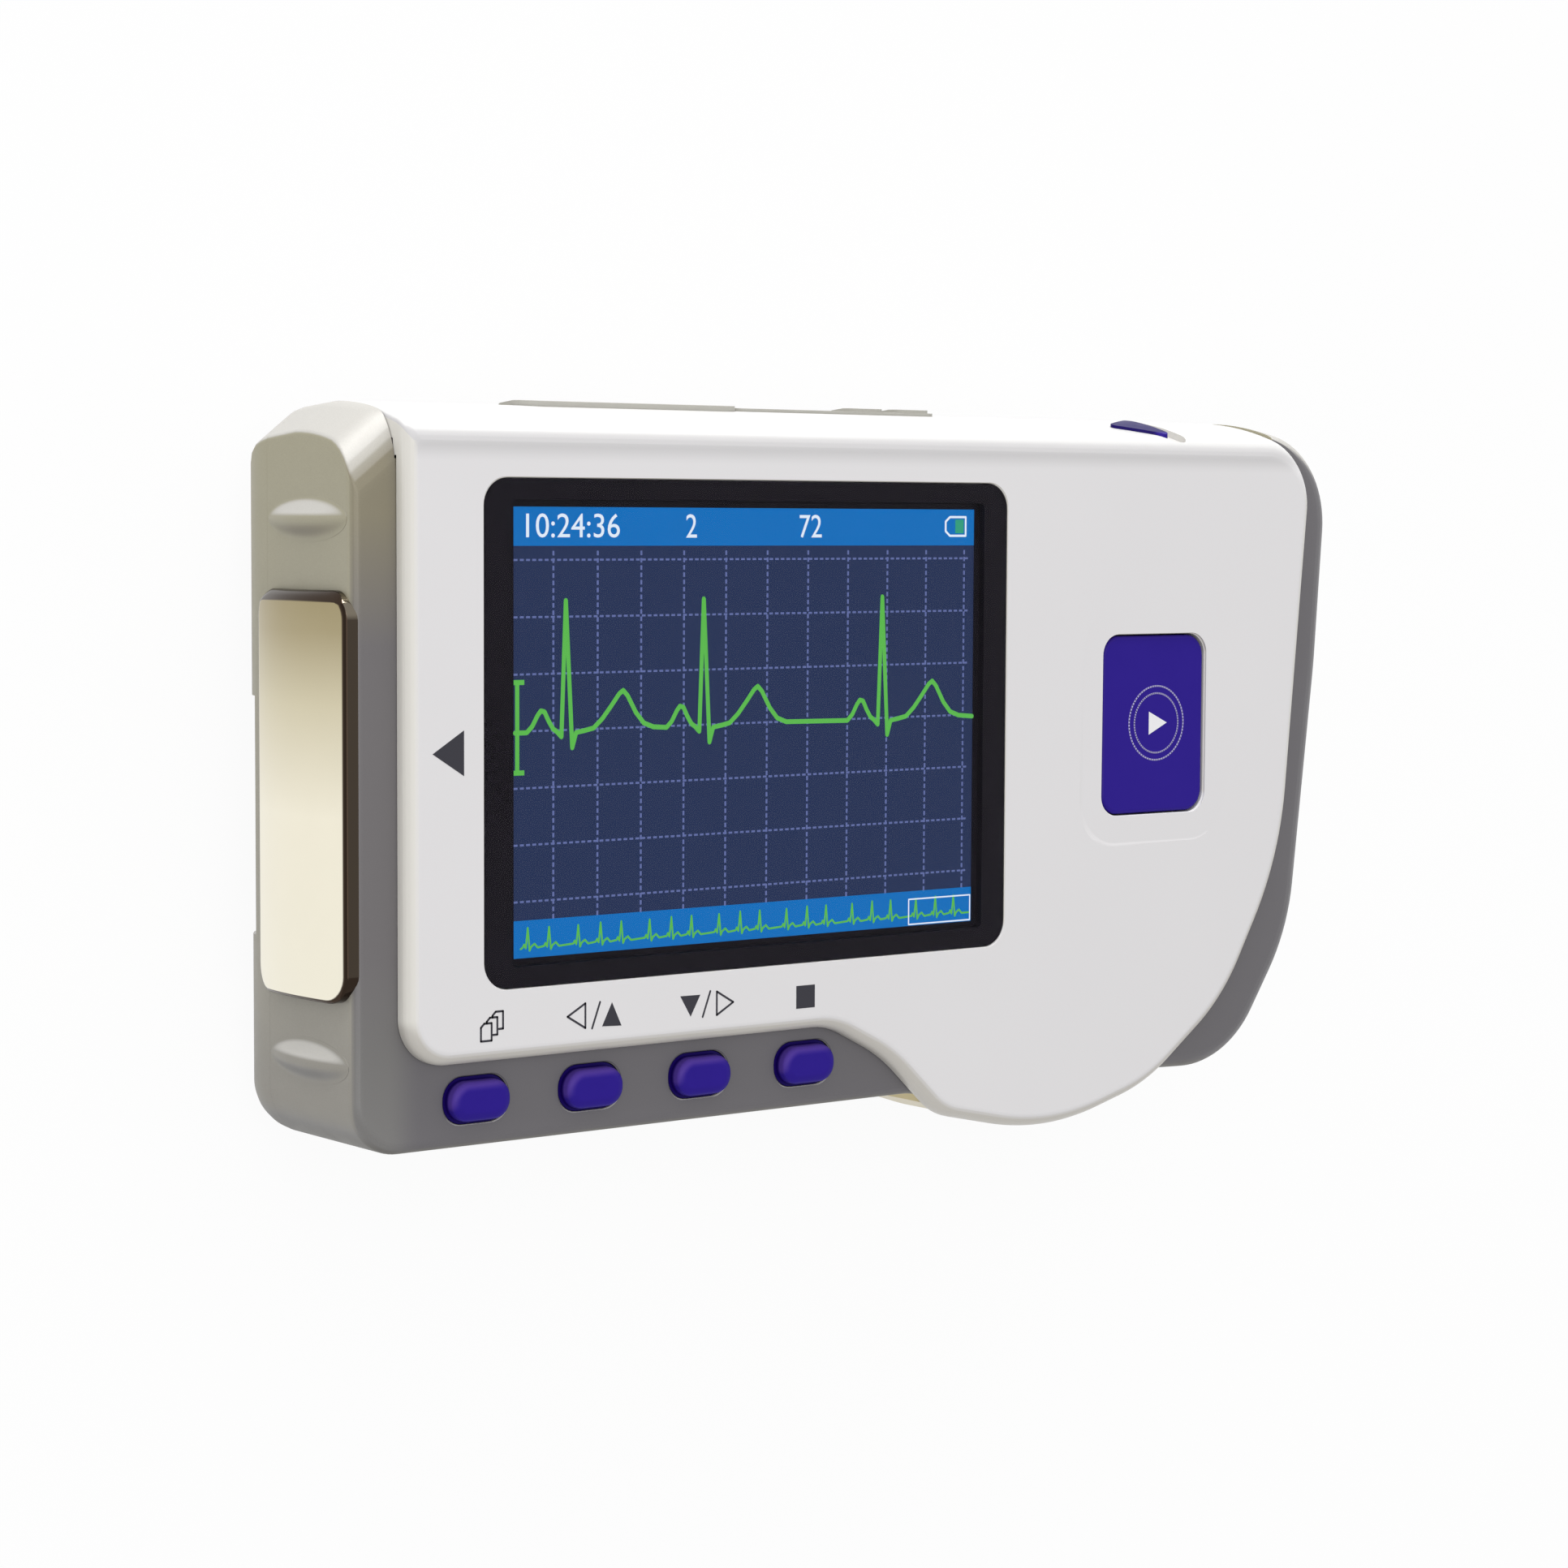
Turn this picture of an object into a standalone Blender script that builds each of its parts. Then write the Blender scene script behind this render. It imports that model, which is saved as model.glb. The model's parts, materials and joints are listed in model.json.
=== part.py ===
"""Hand-held ECG recorder with a colour display, four keys, a record key and metal finger contacts.

The case lies on its back: X runs along it, Y goes up its face and Z comes out of its face.
Places on the face are measured from the centre of the display, and heights from the back.
"""
import math

import bmesh
import bpy
from mathutils import Matrix, Vector

# Display and its window, in metres
SCREEN_WIDTH = 0.0549
SCREEN_HEIGHT = 0.0412
BEZEL_SIDE = 0.00365
BEZEL_END = 0.00255
WINDOW_CORNER = 0.0025
WINDOW_THICK = 0.0012
WINDOW_FIT = 0.0002
PANEL_THICK = 0.0024
PANEL_BORDER = 0.0018
FRAME_WALL = 0.0010
DISPLAY_ROOM = 0.0061

# Shells
WALL = 0.0013
REAR_WALL = 0.0018
DECK = 0.0020
SEAM = 0.0003
COVER_THICK = 0.0030
LEDGE = 0.0026
SKIRT_DROP = 0.0120
SKIRT_END_INSET = 0.0133
SKIRT_WALL = 0.0020
SKIRT_BAND = 0.0050
OVERRUN = 0.0010

# Row of oval keys below the display
KEY_LENGTH = 0.0074
KEY_WIDTH = 0.0046
KEY_PITCH = 0.01263
KEY_CORNER = 0.0021
KEY_PROUD = 0.0013
KEY_CROWN = 0.0007
KEY_FLANGE = 0.00035
KEY_FIT = 0.0002
KEY_TRAVEL = 0.0006
KEY_GAP_ABOVE = 0.0012
KEY_WALL_GAP = 0.00055
FIRST_KEY_INSET = 0.0083
FLANGE_THICK = 0.0006
KEY_NAMES = ("menu", "left_up", "right_down", "stop")

# Outline of the case, which runs on from the display and the keys
LEFT_BORDER = 0.0081
TOP_BORDER = 0.00695
LOW_BORDER = 0.00665
END_BAND = 0.0045
SHOULDER_RUN = 0.0036
SHOULDER_FALL = 0.0028
NECK_GAP = 0.00951
LOBE_RUN = 0.0218
LOBE_DROP = 0.0054
COVE_RUN = 0.0117
COVE_RISE = 0.0050
HEEL_RUN = 0.0169
HEEL_DROP = 0.0006
PALM_RUN = 0.0090
PALM_RISE = 0.0137
SIDE_RUN = 0.0034
SIDE_RISE = 0.0291
GRIP_RUN = 0.0019
END_CORNER = 0.0050
SHOULDER_CORNER = 0.0008
CROWN_CORNER = 0.0030
NECK_CORNER = 0.0150
LOBE_CORNER = 0.0240
COVE_CORNER = 0.0120
HEEL_CORNER = 0.0120
PALM_CORNER = 0.0228
SIDE_CORNER = 0.0700
GRIP_CORNER = 0.0107

# Rounded edges and the arched top side
REAR_ROUND = 0.0068
REAR_EDGE = 0.0012
ARCH_RADIUS = 0.0330
TOP_ROUND = 0.0016
END_ROUND = 0.0028
SHOULDER_ROUND = 0.0040
SHOULDER_REAR_SHARE = 0.25
KEY_SIDE_ROUND = 0.0012
LOBE_ROUND = 0.0020
GRIP_ROUND = 0.0036
LEAST_CORNER = 0.0006

# White face, whose outline at the foot of its rim follows that of the case
FACE_STEP = 0.0020
FACE_ROUND = 0.0011
FACE_CORNER = 0.0045
WAVE_TOP_RUN = 0.0070
WAVE_MID_DROP = 0.0036
WAVE_FOOT_RUN = 0.0068
WAVE_FOOT_RISE = 0.0032
FACE_LOBE_MARGIN = 0.0001
FACE_LOBE_BACK = 0.0005
FACE_HEEL_RUN = 0.0135
FACE_HEEL_RISE = 0.0038
FACE_SIDE_BACK = 0.0041
FACE_SIDE_RISE = 0.0119
FACE_PALM_BACK = 0.00475
FACE_PALM_RISE = 0.0266
CRESCENT = 0.0058
WAVE_TOP_CORNER = 0.0090
WAVE_MID_CORNER = 0.0180
WAVE_FOOT_CORNER = 0.0070
FACE_LOBE_CORNER = 0.0300
FACE_HEEL_CORNER = 0.0200
FACE_SIDE_CORNER = 0.0220
FACE_PALM_CORNER = 0.0350
FACE_GRIP_CORNER = 0.0065

# Record key in its shallow dish
RECORD_GAP = 0.0135
RECORD_Y = -0.0015
RECORD_WIDTH = 0.0142
RECORD_HEIGHT = 0.0184
RECORD_CORNER = 0.0022
RECORD_SINK = 0.0002
RECORD_FLANGE = 0.0008
RECORD_TRAVEL = 0.0005
DISH_BORDER = 0.0032
DISH_CORNER = 0.0050
DISH_DEPTH = 0.0002

# Tactile switches under the keys
SWITCH_SIDE = 0.0042
SWITCH_BASE = 0.0016
PLUNGER_RADIUS = 0.0010
RECORD_SWITCH_SIDE = 0.0060

# Main board
BOARD_THICK = 0.0016
BOARD_GAP = 0.0004
BOARD_WALL_GAP = 0.0006
BOARD_TOP_INSET = 0.0051
BOARD_CORNER = 0.0030
BOARD_HEEL_CORNER = 0.0080

# AAA cells and their bay
CELL_RADIUS = 0.00525
CELL_LENGTH = 0.0445
CELL_GAP = 0.0006
CELL_NUB_RADIUS = 0.0019
CELL_NUB = 0.0008
BAY_Y = -0.0080
BAY_WALL = 0.0012
PLATE_THICK = 0.0004
PLATE_WIDTH = 0.0080
SPRING_RADIUS = 0.0026
SPRING_WIRE = 0.0004
SPRING_LENGTH = 0.0042

# Battery door
DOOR_THICK = 0.0011
DOOR_SINK = 0.0003
DOOR_RISE = 0.0050
DOOR_RIBS = 5
DOOR_RIB_PITCH = 0.0016
DOOR_RIB_WIDTH = 0.0007
DOOR_RIB_DEPTH = 0.0004
DOOR_RIB_LENGTH = 0.0110

# Metal contacts
PAD_LOW_INSET = 0.0151
PAD_HIGH_INSET = 0.0162
PAD_GAP = 0.0006
PAD_DROP = 0.0025
PAD_PROUD = 0.0018
PAD_SHEET = 0.0008
PAD_ROUND = 0.0013
PAD_CORNER = 0.0024
TAB_SPACING = 0.0200
TAB_WIDTH = 0.0040
TAB_LENGTH = 0.0030
FINGER_NECK_GAP = 0.0028
FINGER_LENGTH = 0.0165
FINGER_GAP = 0.0015
FINGER_DROP = 0.0035
FINGER_PROUD = 0.0003
FINGER_SHEET = 0.0008
FINGER_CORNER = 0.0020
FINGER_TAB_WIDTH = 0.0030

# Almond grips on the end face
GRIP_RIB_HIGH_GAP = 0.0055
GRIP_RIB_LOW_GAP = 0.0069
GRIP_RIB_INSET = 0.0004
GRIP_RIB_HALF_WIDTH = 0.0016
GRIP_RIB_PROUD = 0.0008
GRIP_RIB_SHARES = (-0.97, -0.80, -0.50, 0, 0.50, 0.80, 0.97)

# Power slider on the top side
KNOB_BACK = 0.00085
KNOB_LENGTH = 0.0059
KNOB_WIDTH = 0.0072
KNOB_DROP = 0.0044
KNOB_PROUD = 0.0003
KNOB_SINK = 0.0006
KNOB_TRAVEL = 0.0020
STEM_LENGTH = 0.0016
STEM_WIDTH = 0.0016
SLIDER_BODY_LENGTH = 0.0090
SLIDER_BODY_WIDTH = 0.0036
SLIDER_BODY_RISE = 0.0042

# Data socket and its soft cap with a strap
CAP_LEFT_X = -0.0202
CAP_LENGTH = 0.0250
CAP_WIDTH = 0.0066
CAP_PROUD = 0.0005
CAP_SINK = 0.0005
CAP_CORNER = 0.0020
STRAP_LENGTH = 0.0250
STRAP_WIDTH = 0.0052
STRAP_PROUD = 0.0003
STRAP_RIB_PROUD = 0.0006
STRAP_RIB_LENGTH = 0.0042
STRAP_RIB_SHARES = (0.66, 0.90)
STRAP_CORNER = 0.0012
PLUG_LENGTH = 0.0080
PLUG_WIDTH = 0.0030
PLUG_REACH = 0.0016
SOCKET_WIDTH = 0.0077
SOCKET_RISE = 0.0029
SOCKET_DEPTH = 0.0070
SOCKET_MOUTH_WIDTH = 0.0065
SOCKET_MOUTH_RISE = 0.0019
SOCKET_MOUTH_DEPTH = 0.0050

# Case screws, bosses, sounder, ribbon and contact springs
SCREW_RADIUS = 0.0010
SCREW_HEAD_RADIUS = 0.0018
SCREW_HEAD_THICK = 0.0012
SCREW_LENGTH = 0.0120
SCREW_SINK = 0.0012
SLOT_WIDTH = 0.0005
SLOT_DEPTH = 0.0005
BOSS_RADIUS = 0.0030
END_BOSS_INSET = 0.0062
GRIP_BOSS_INSET = 0.0099
END_BOSS_HIGH_INSET = 0.0131
END_BOSS_LOW_INSET = 0.0088
GRIP_BOSS_HIGH_INSET = 0.0161
GRIP_BOSS_LOW_INSET = 0.0131
SOUNDER_X = 0.0413
SOUNDER_INSET = 0.0129
SOUNDER_RADIUS = 0.0045
SOUNDER_THICK = 0.0030
RIBBON_WIDTH = 0.0120
RIBBON_THICK = 0.0003
LEAD_WIDTH = 0.0020
LEAD_THICK = 0.0003

# Counts of facets round curved pieces
ROUND_STEPS = 24
SMALL_STEPS = 12
CORNER_STEPS = 5
CROWN_STEPS = 3
SPRING_TURNS = 3
COIL_STEPS = 10
WIRE_STEPS = 6

# Heights from the back: the cells, the board and the display stack up to the face
DOOR_INSIDE = DOOR_SINK + DOOR_THICK
CELL_BASE = DOOR_INSIDE + 2 * SEAM
CELL_AXIS = CELL_BASE + CELL_RADIUS
BAY_ROOF = CELL_AXIS + CELL_RADIUS + SEAM
BAY_TOP = BAY_ROOF + BAY_WALL
BOARD_BASE = BAY_TOP + SEAM
BOARD_FACE = BOARD_BASE + BOARD_THICK
COVER_UNDER = BOARD_FACE + DISPLAY_ROOM
BODY_DEPTH = COVER_UNDER + COVER_THICK
GREY_TOP = BODY_DEPTH - FACE_STEP
DECK_UNDER = GREY_TOP - DECK
REAR_SPLIT = REAR_ROUND + REAR_EDGE
SKIRT_HEIGHT = BODY_DEPTH - SKIRT_DROP
CROWN_HEIGHT = SKIRT_HEIGHT
CAP_HEIGHT = BOARD_BASE - SEAM - SOCKET_RISE / 2
KNOB_HEIGHT = BODY_DEPTH - KNOB_DROP
PAD_BASE = REAR_SPLIT + PAD_GAP
PAD_CREST = BODY_DEPTH - PAD_DROP
FINGER_BASE = REAR_SPLIT + FINGER_GAP
FINGER_CREST = BODY_DEPTH - FINGER_DROP

# Places along and across the face, from the centre of the display
WINDOW_WIDTH = SCREEN_WIDTH + 2 * BEZEL_SIDE
WINDOW_HEIGHT = SCREEN_HEIGHT + 2 * BEZEL_END
FACE_LEFT = WINDOW_WIDTH / 2 + LEFT_BORDER
FACE_LOW = WINDOW_HEIGHT / 2 + LOW_BORDER
END_REACH = FACE_LEFT + END_BAND
TOP_REACH = WINDOW_HEIGHT / 2 + TOP_BORDER
KEY_SIDE_REACH = FACE_LOW + KEY_GAP_ABOVE + KEY_WIDTH + KEY_WALL_GAP + KEY_FLANGE + WALL
KEY_ROW_Y = -FACE_LOW - KEY_GAP_ABOVE - KEY_WIDTH / 2
FIRST_KEY_X = -FACE_LEFT + FIRST_KEY_INSET
NECK_X = FIRST_KEY_X + (len(KEY_NAMES) - 1) * KEY_PITCH + NECK_GAP
LOBE_X = NECK_X + LOBE_RUN
COVE_X = LOBE_X + COVE_RUN
HEEL_X = COVE_X + HEEL_RUN
PALM_X = HEEL_X + PALM_RUN
SIDE_X = PALM_X + SIDE_RUN
GRIP_X = SIDE_X + GRIP_RUN
LOBE_REACH = KEY_SIDE_REACH + LOBE_DROP
COVE_REACH = LOBE_REACH - COVE_RISE
HEEL_REACH = COVE_REACH + HEEL_DROP
PALM_REACH = HEEL_REACH - PALM_RISE
SIDE_REACH = PALM_REACH - SIDE_RISE
FACE_LOBE_REACH = LOBE_REACH - FACE_LOBE_MARGIN
RECORD_X = WINDOW_WIDTH / 2 + RECORD_GAP + RECORD_WIDTH / 2
KNOB_X = RECORD_X - KNOB_BACK
SKIRT_REACH = GRIP_X - SKIRT_END_INSET
FINGER_START_X = NECK_X + FINGER_NECK_GAP
FINGER_END_X = FINGER_START_X + FINGER_LENGTH
PAD_LOW = -KEY_SIDE_REACH + PAD_LOW_INSET
PAD_HIGH = TOP_REACH - PAD_HIGH_INSET
GRIP_BOSS_X = GRIP_X - GRIP_BOSS_INSET
BOARD_LEFT = END_REACH - END_BOSS_INSET - BOSS_RADIUS - BOARD_GAP
BOARD_RIGHT = GRIP_BOSS_X - BOSS_RADIUS - BOARD_GAP
BOARD_LOW = KEY_SIDE_REACH - WALL - BOARD_WALL_GAP
BOARD_TOP = TOP_REACH - BOARD_TOP_INSET
SOUNDER_Y = -BOARD_LOW + SOUNDER_INSET
BAY_HALF_WIDTH = 2 * CELL_RADIUS + CELL_GAP / 2 + SEAM
BAY_HALF_LENGTH = (CELL_LENGTH + SPRING_LENGTH + 2 * PLATE_THICK + 4 * SEAM) / 2
BAY_X = -END_REACH + REAR_ROUND + SEAM + BAY_WALL + BAY_HALF_LENGTH


def body_corners():
    """Corners of the whole case, anticlockwise: place, rounding and facets."""
    return [
        (-END_REACH, -KEY_SIDE_REACH, END_CORNER, 6),
        (NECK_X, -KEY_SIDE_REACH, NECK_CORNER, 3),
        (LOBE_X, -LOBE_REACH, LOBE_CORNER, 5),
        (COVE_X, -COVE_REACH, COVE_CORNER, 2),
        (HEEL_X, -HEEL_REACH, HEEL_CORNER, 5),
        (PALM_X, -PALM_REACH, PALM_CORNER, 3),
        (SIDE_X, -SIDE_REACH, SIDE_CORNER, 2),
        (GRIP_X, TOP_REACH, GRIP_CORNER, 7),
        (-END_REACH + SHOULDER_RUN, TOP_REACH, CROWN_CORNER, 2),
        (-END_REACH, TOP_REACH - SHOULDER_FALL, SHOULDER_CORNER, 2),
    ]


def face_corners():
    """Corners of the white face at the foot of its rim, anticlockwise."""
    return [
        (-FACE_LEFT, -FACE_LOW, FACE_CORNER, 6),
        (NECK_X - WAVE_TOP_RUN, -FACE_LOW, WAVE_TOP_CORNER, 4),
        (NECK_X, -FACE_LOW - WAVE_MID_DROP, WAVE_MID_CORNER, 3),
        (NECK_X + WAVE_FOOT_RUN, WAVE_FOOT_RISE - FACE_LOBE_REACH, WAVE_FOOT_CORNER, 4),
        (LOBE_X - FACE_LOBE_BACK, -FACE_LOBE_REACH, FACE_LOBE_CORNER, 5),
        (LOBE_X + FACE_HEEL_RUN, FACE_HEEL_RISE - FACE_LOBE_REACH, FACE_HEEL_CORNER, 4),
        (HEEL_X - FACE_SIDE_BACK, FACE_SIDE_RISE - FACE_LOBE_REACH, FACE_SIDE_CORNER, 4),
        (PALM_X - FACE_PALM_BACK, FACE_PALM_RISE - FACE_LOBE_REACH, FACE_PALM_CORNER, 4),
        (GRIP_X - CRESCENT, TOP_REACH, FACE_GRIP_CORNER, 7),
        (-FACE_LEFT, TOP_REACH, LEAST_CORNER, 2),
    ]


def inset_outline(corners, insets):
    """Rounded outline whose sides are each moved inward by their own inset."""
    sides = []
    for index, corner in enumerate(corners):
        here = Vector(corner[:2])
        there = Vector(corners[(index + 1) % len(corners)][:2])
        along = (there - here).normalized()
        sides.append((here + Vector((-along.y, along.x)) * insets[index], along))
    points = []
    for index, corner in enumerate(corners):
        (first, into), (second, out) = sides[index - 1], sides[index]
        cross = into.x * out.y - into.y * out.x
        span = second - first
        tip = first + into * ((span.x * out.y - span.y * out.x) / cross)
        turn = math.atan2(cross, into.dot(out))
        drawn = min(insets[index - 1], insets[index])
        radius = max(corner[2] - math.copysign(drawn, turn), LEAST_CORNER)
        start = tip - into * (radius * math.tan(abs(turn) / 2))
        centre = start + Vector((-into.y, into.x)) * math.copysign(radius, turn)
        for step in range(corner[3] + 1):
            points.append(centre + Matrix.Rotation(turn * step / corner[3], 2) @ (start - centre))
    return points


def set_back(height, edge, radius):
    """How far a rounded edge has drawn in at a height; edge is where its flat face lies."""
    depth = min(radius - abs(edge - height), radius)
    if depth <= 0:
        return 0
    return radius - math.sqrt(radius ** 2 - depth ** 2)


def top_draw(height, inward):
    """Inset of the arched top side, whose surface is offset inward."""
    bow = ARCH_RADIUS - inward
    arch = bow - math.sqrt(bow ** 2 - (height - CROWN_HEIGHT) ** 2)
    rear = set_back(height, inward, REAR_ROUND - inward)
    front = set_back(height, BODY_DEPTH - inward, TOP_ROUND - min(inward, TOP_ROUND))
    return inward + arch + rear + front


def body_insets(height, inward):
    """Insets of the sides of the case, in the order of its corners."""
    rear = set_back(height, inward, REAR_ROUND - inward)

    def side(rounding):
        return inward + rear + set_back(height, GREY_TOP - inward, max(rounding - inward, 0))

    top = top_draw(height, inward)
    shoulder = top + side(SHOULDER_ROUND) - inward + rear * (SHOULDER_REAR_SHARE - 1)
    return [side(KEY_SIDE_ROUND), side(KEY_SIDE_ROUND), side(LOBE_ROUND), side(LOBE_ROUND),
            side(GRIP_ROUND), side(GRIP_ROUND), side(GRIP_ROUND), top, shoulder, side(END_ROUND)]


def face_insets(height, inward, top_inward):
    """Insets of the sides of the white face, in the order of its corners."""
    side = inward + set_back(height, BODY_DEPTH, FACE_ROUND)
    top = top_draw(height, top_inward)
    return [side] * 8 + [top, side]


def heights_between(low, high, stops):
    """Heights of the rings of a loft: its ends and the stops between them."""
    return [low] + sorted(stop for stop in set(stops) if low < stop < high) + [high]


def rounding_stops(edge, radius, steps):
    """Heights at even angles round an edge whose face lies at edge."""
    quarter = math.pi / 2
    return [edge - radius * (1 - math.sin(quarter * step / steps)) for step in range(steps)]


def body_stops():
    rear = [REAR_ROUND * (1 - math.cos(math.pi / 2 * step / 5)) for step in range(1, 6)]
    arch = [CROWN_HEIGHT, (CROWN_HEIGHT + GREY_TOP - GRIP_ROUND) / 2]
    return (rear + arch + rounding_stops(GREY_TOP, GRIP_ROUND, 4)
            + rounding_stops(GREY_TOP, KEY_SIDE_ROUND, 2))


def face_stops():
    spread = GREY_TOP - SKIRT_HEIGHT
    arch = [SKIRT_HEIGHT + spread * step / 3 for step in range(1, 3)]
    return arch + rounding_stops(BODY_DEPTH, TOP_ROUND, 3) + rounding_stops(BODY_DEPTH, FACE_ROUND, 2)


def mesh_object(name, vertices, faces):
    mesh = bpy.data.meshes.new(name)
    mesh.from_pydata([tuple(vertex) for vertex in vertices], [], faces)
    shape = bmesh.new()
    shape.from_mesh(mesh)
    bmesh.ops.recalc_face_normals(shape, faces=shape.faces)
    shape.to_mesh(mesh)
    shape.free()
    piece = bpy.data.objects.new(name, mesh)
    bpy.context.scene.collection.objects.link(piece)
    return piece


def loft(name, rings):
    """Closed solid through rings of equal length, each a list of points."""
    count = len(rings[0])
    vertices = [point for ring in rings for point in ring]
    faces = [list(reversed(range(count)))]
    for level in range(len(rings) - 1):
        base = level * count
        for index in range(count):
            after = (index + 1) % count
            faces.append([base + index, base + after, base + count + after, base + count + index])
    faces.append([(len(rings) - 1) * count + index for index in range(count)])
    return mesh_object(name, vertices, faces)


def outline_loft(name, corners, levels):
    """Loft of one rounded outline: levels are pairs of a height and its insets."""
    rings = []
    for height, insets in levels:
        rings.append([Vector((p.x, p.y, height)) for p in inset_outline(corners, insets)])
    return loft(name, rings)


def body_loft(name, low, high, inward):
    heights = heights_between(low, high, body_stops())
    return outline_loft(name, body_corners(), [(h, body_insets(h, inward)) for h in heights])


def skin_block(name, inward):
    """The case offset inward above its rear edge, for pieces set into its top and lower sides."""
    heights = heights_between(REAR_ROUND, BODY_DEPTH - inward, body_stops() + face_stops())
    levels = []
    for height in heights:
        top = top_draw(height, inward)
        levels.append((height, [inward] * 7 + [top, top, inward]))
    return outline_loft(name, body_corners(), levels)


def face_solid(name, low, high, inward, top_inward):
    heights = heights_between(low, high, face_stops())
    return outline_loft(name, face_corners(), [(h, face_insets(h, inward, top_inward)) for h in heights])


def ledge_solid(name, low, high, inward):
    """Inset form of the white face with a plain upper left corner, for the step round the deck."""
    corners = face_corners()[:-1] + [(-FACE_LEFT, TOP_REACH, FACE_CORNER, CORNER_STEPS)]
    heights = heights_between(low, high, face_stops())
    return outline_loft(name, corners, [(h, face_insets(h, inward, inward)) for h in heights])


def rectangle(width, height, radius, steps=CORNER_STEPS):
    """Corners of a rounded rectangle about its centre."""
    x, y = width / 2, height / 2
    return [(-x, -y, radius, steps), (x, -y, radius, steps), (x, y, radius, steps), (-x, y, radius, steps)]


def block(name, low, high):
    """Box between two opposite corners."""
    rings = []
    for z in (low[2], high[2]):
        rings.append([Vector((low[0], low[1], z)), Vector((high[0], low[1], z)),
                      Vector((high[0], high[1], z)), Vector((low[0], high[1], z))])
    return loft(name, rings)


def rounded_block(name, centre, size, radius, levels):
    """Rounded rectangle lofted along Z: levels are pairs of a height and an inset."""
    piece = outline_loft(name, rectangle(size[0], size[1], radius),
                         [(height, [inset] * 4) for height, inset in levels])
    return shift(piece, (centre[0], centre[1], 0))


def disc(name, centre, radius, low, high, steps=ROUND_STEPS):
    """Upright cylinder."""
    return turned(name, centre, [(radius, low), (radius, high)], steps)


def turned(name, centre, profile, steps=ROUND_STEPS):
    """Solid turned about an upright axis: profile is pairs of a radius and a height."""
    rings = []
    for radius, height in profile:
        rings.append([Vector((centre[0] + radius * math.cos(math.tau * step / steps),
                              centre[1] + radius * math.sin(math.tau * step / steps), height))
                      for step in range(steps)])
    return loft(name, rings)


def shift(piece, offset):
    piece.data.transform(Matrix.Translation(Vector(offset)))
    return piece


def turn_mesh(piece, angle, axis):
    piece.data.transform(Matrix.Rotation(angle, 4, axis))
    return piece


def combine(target, tool, operation):
    """Exact Boolean of two solids; the tool is used up."""
    change = target.modifiers.new("combine", 'BOOLEAN')
    change.operation = operation
    change.object = tool
    change.solver = 'EXACT'
    bpy.context.view_layer.update()
    depsgraph = bpy.context.evaluated_depsgraph_get()
    result = bpy.data.meshes.new_from_object(target.evaluated_get(depsgraph))
    target.modifiers.clear()
    target.data = result
    bpy.data.objects.remove(tool)
    return target


def cut(target, tool):
    return combine(target, tool, 'DIFFERENCE')


def add(target, tool):
    return combine(target, tool, 'UNION')


def keep(target, tool):
    return combine(target, tool, 'INTERSECT')


def run_along_y(name, corners, x, height, low, high):
    """Outline of four corners in X and Z, run along Y from low to high."""
    piece = outline_loft(name, corners, [(low, [0] * 4), (high, [0] * 4)])
    turn_mesh(piece, math.pi / 2, 'X')
    return shift(piece, (x, low + high, height))


def side_prism(name, x, height, length, width, radius, low, high):
    return run_along_y(name, rectangle(length, width, radius), x, height, low, high)


def top_prism(name, x, height, length, width, radius):
    """Prism that runs out through the top side."""
    return side_prism(name, x, height, length, width, radius,
                      TOP_REACH - SKIRT_BAND, TOP_REACH + SKIRT_BAND)


def skin_piece(name, prism, proud, sink):
    """Part of a prism that lies between two offsets of the case's surface."""
    prism.name = name
    keep(prism, skin_block("skin", -proud))
    return cut(prism, skin_block("core", sink))


def skin_pocket(target, prism, sink):
    """Cuts a shallow pocket with a floor that follows the case's surface."""
    return cut(target, cut(prism, skin_block("core", sink)))


def knob_prism(name, x, length, width):
    """Prism of the slider's outline, which is round on the left and square on the right."""
    half_round = width / 2 - LEAST_CORNER
    corners = [(u, v, LEAST_CORNER if u > 0 else half_round, steps)
               for u, v, _, steps in rectangle(length, width, half_round)]
    return run_along_y(name, corners, x, KNOB_HEIGHT, TOP_REACH - SKIRT_BAND, TOP_REACH + SKIRT_BAND)


def crown_levels(top, radius):
    """Rings of a rounded upper edge."""
    levels = []
    for step in range(CROWN_STEPS + 1):
        angle = math.pi / 2 * step / CROWN_STEPS
        levels.append((top - radius * (1 - math.sin(angle)), radius * (1 - math.cos(angle))))
    return levels


def upright_slot(name, x, y, length, width, low, high):
    """Box about an upright axis."""
    return block(name, (x - length / 2, y - width / 2, low), (x + length / 2, y + width / 2, high))


def key_place(index):
    return FIRST_KEY_X + index * KEY_PITCH, KEY_ROW_Y


def boss_places():
    end_x = -END_REACH + END_BOSS_INSET
    return [(end_x, -KEY_SIDE_REACH + END_BOSS_LOW_INSET), (end_x, TOP_REACH - END_BOSS_HIGH_INSET),
            (GRIP_BOSS_X, -PALM_REACH + GRIP_BOSS_LOW_INSET),
            (GRIP_BOSS_X, TOP_REACH - GRIP_BOSS_HIGH_INSET)]


def cap_centre():
    return CAP_LEFT_X + CAP_LENGTH / 2


def strap_left():
    return CAP_LEFT_X + CAP_LENGTH + SEAM


def stem_height():
    return BOARD_FACE + SEAM + SLIDER_BODY_RISE / 2


def skirt_inside(height):
    """How high up the face the inside of the white top reaches at a height."""
    return TOP_REACH - top_draw(height, SKIRT_WALL)


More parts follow.
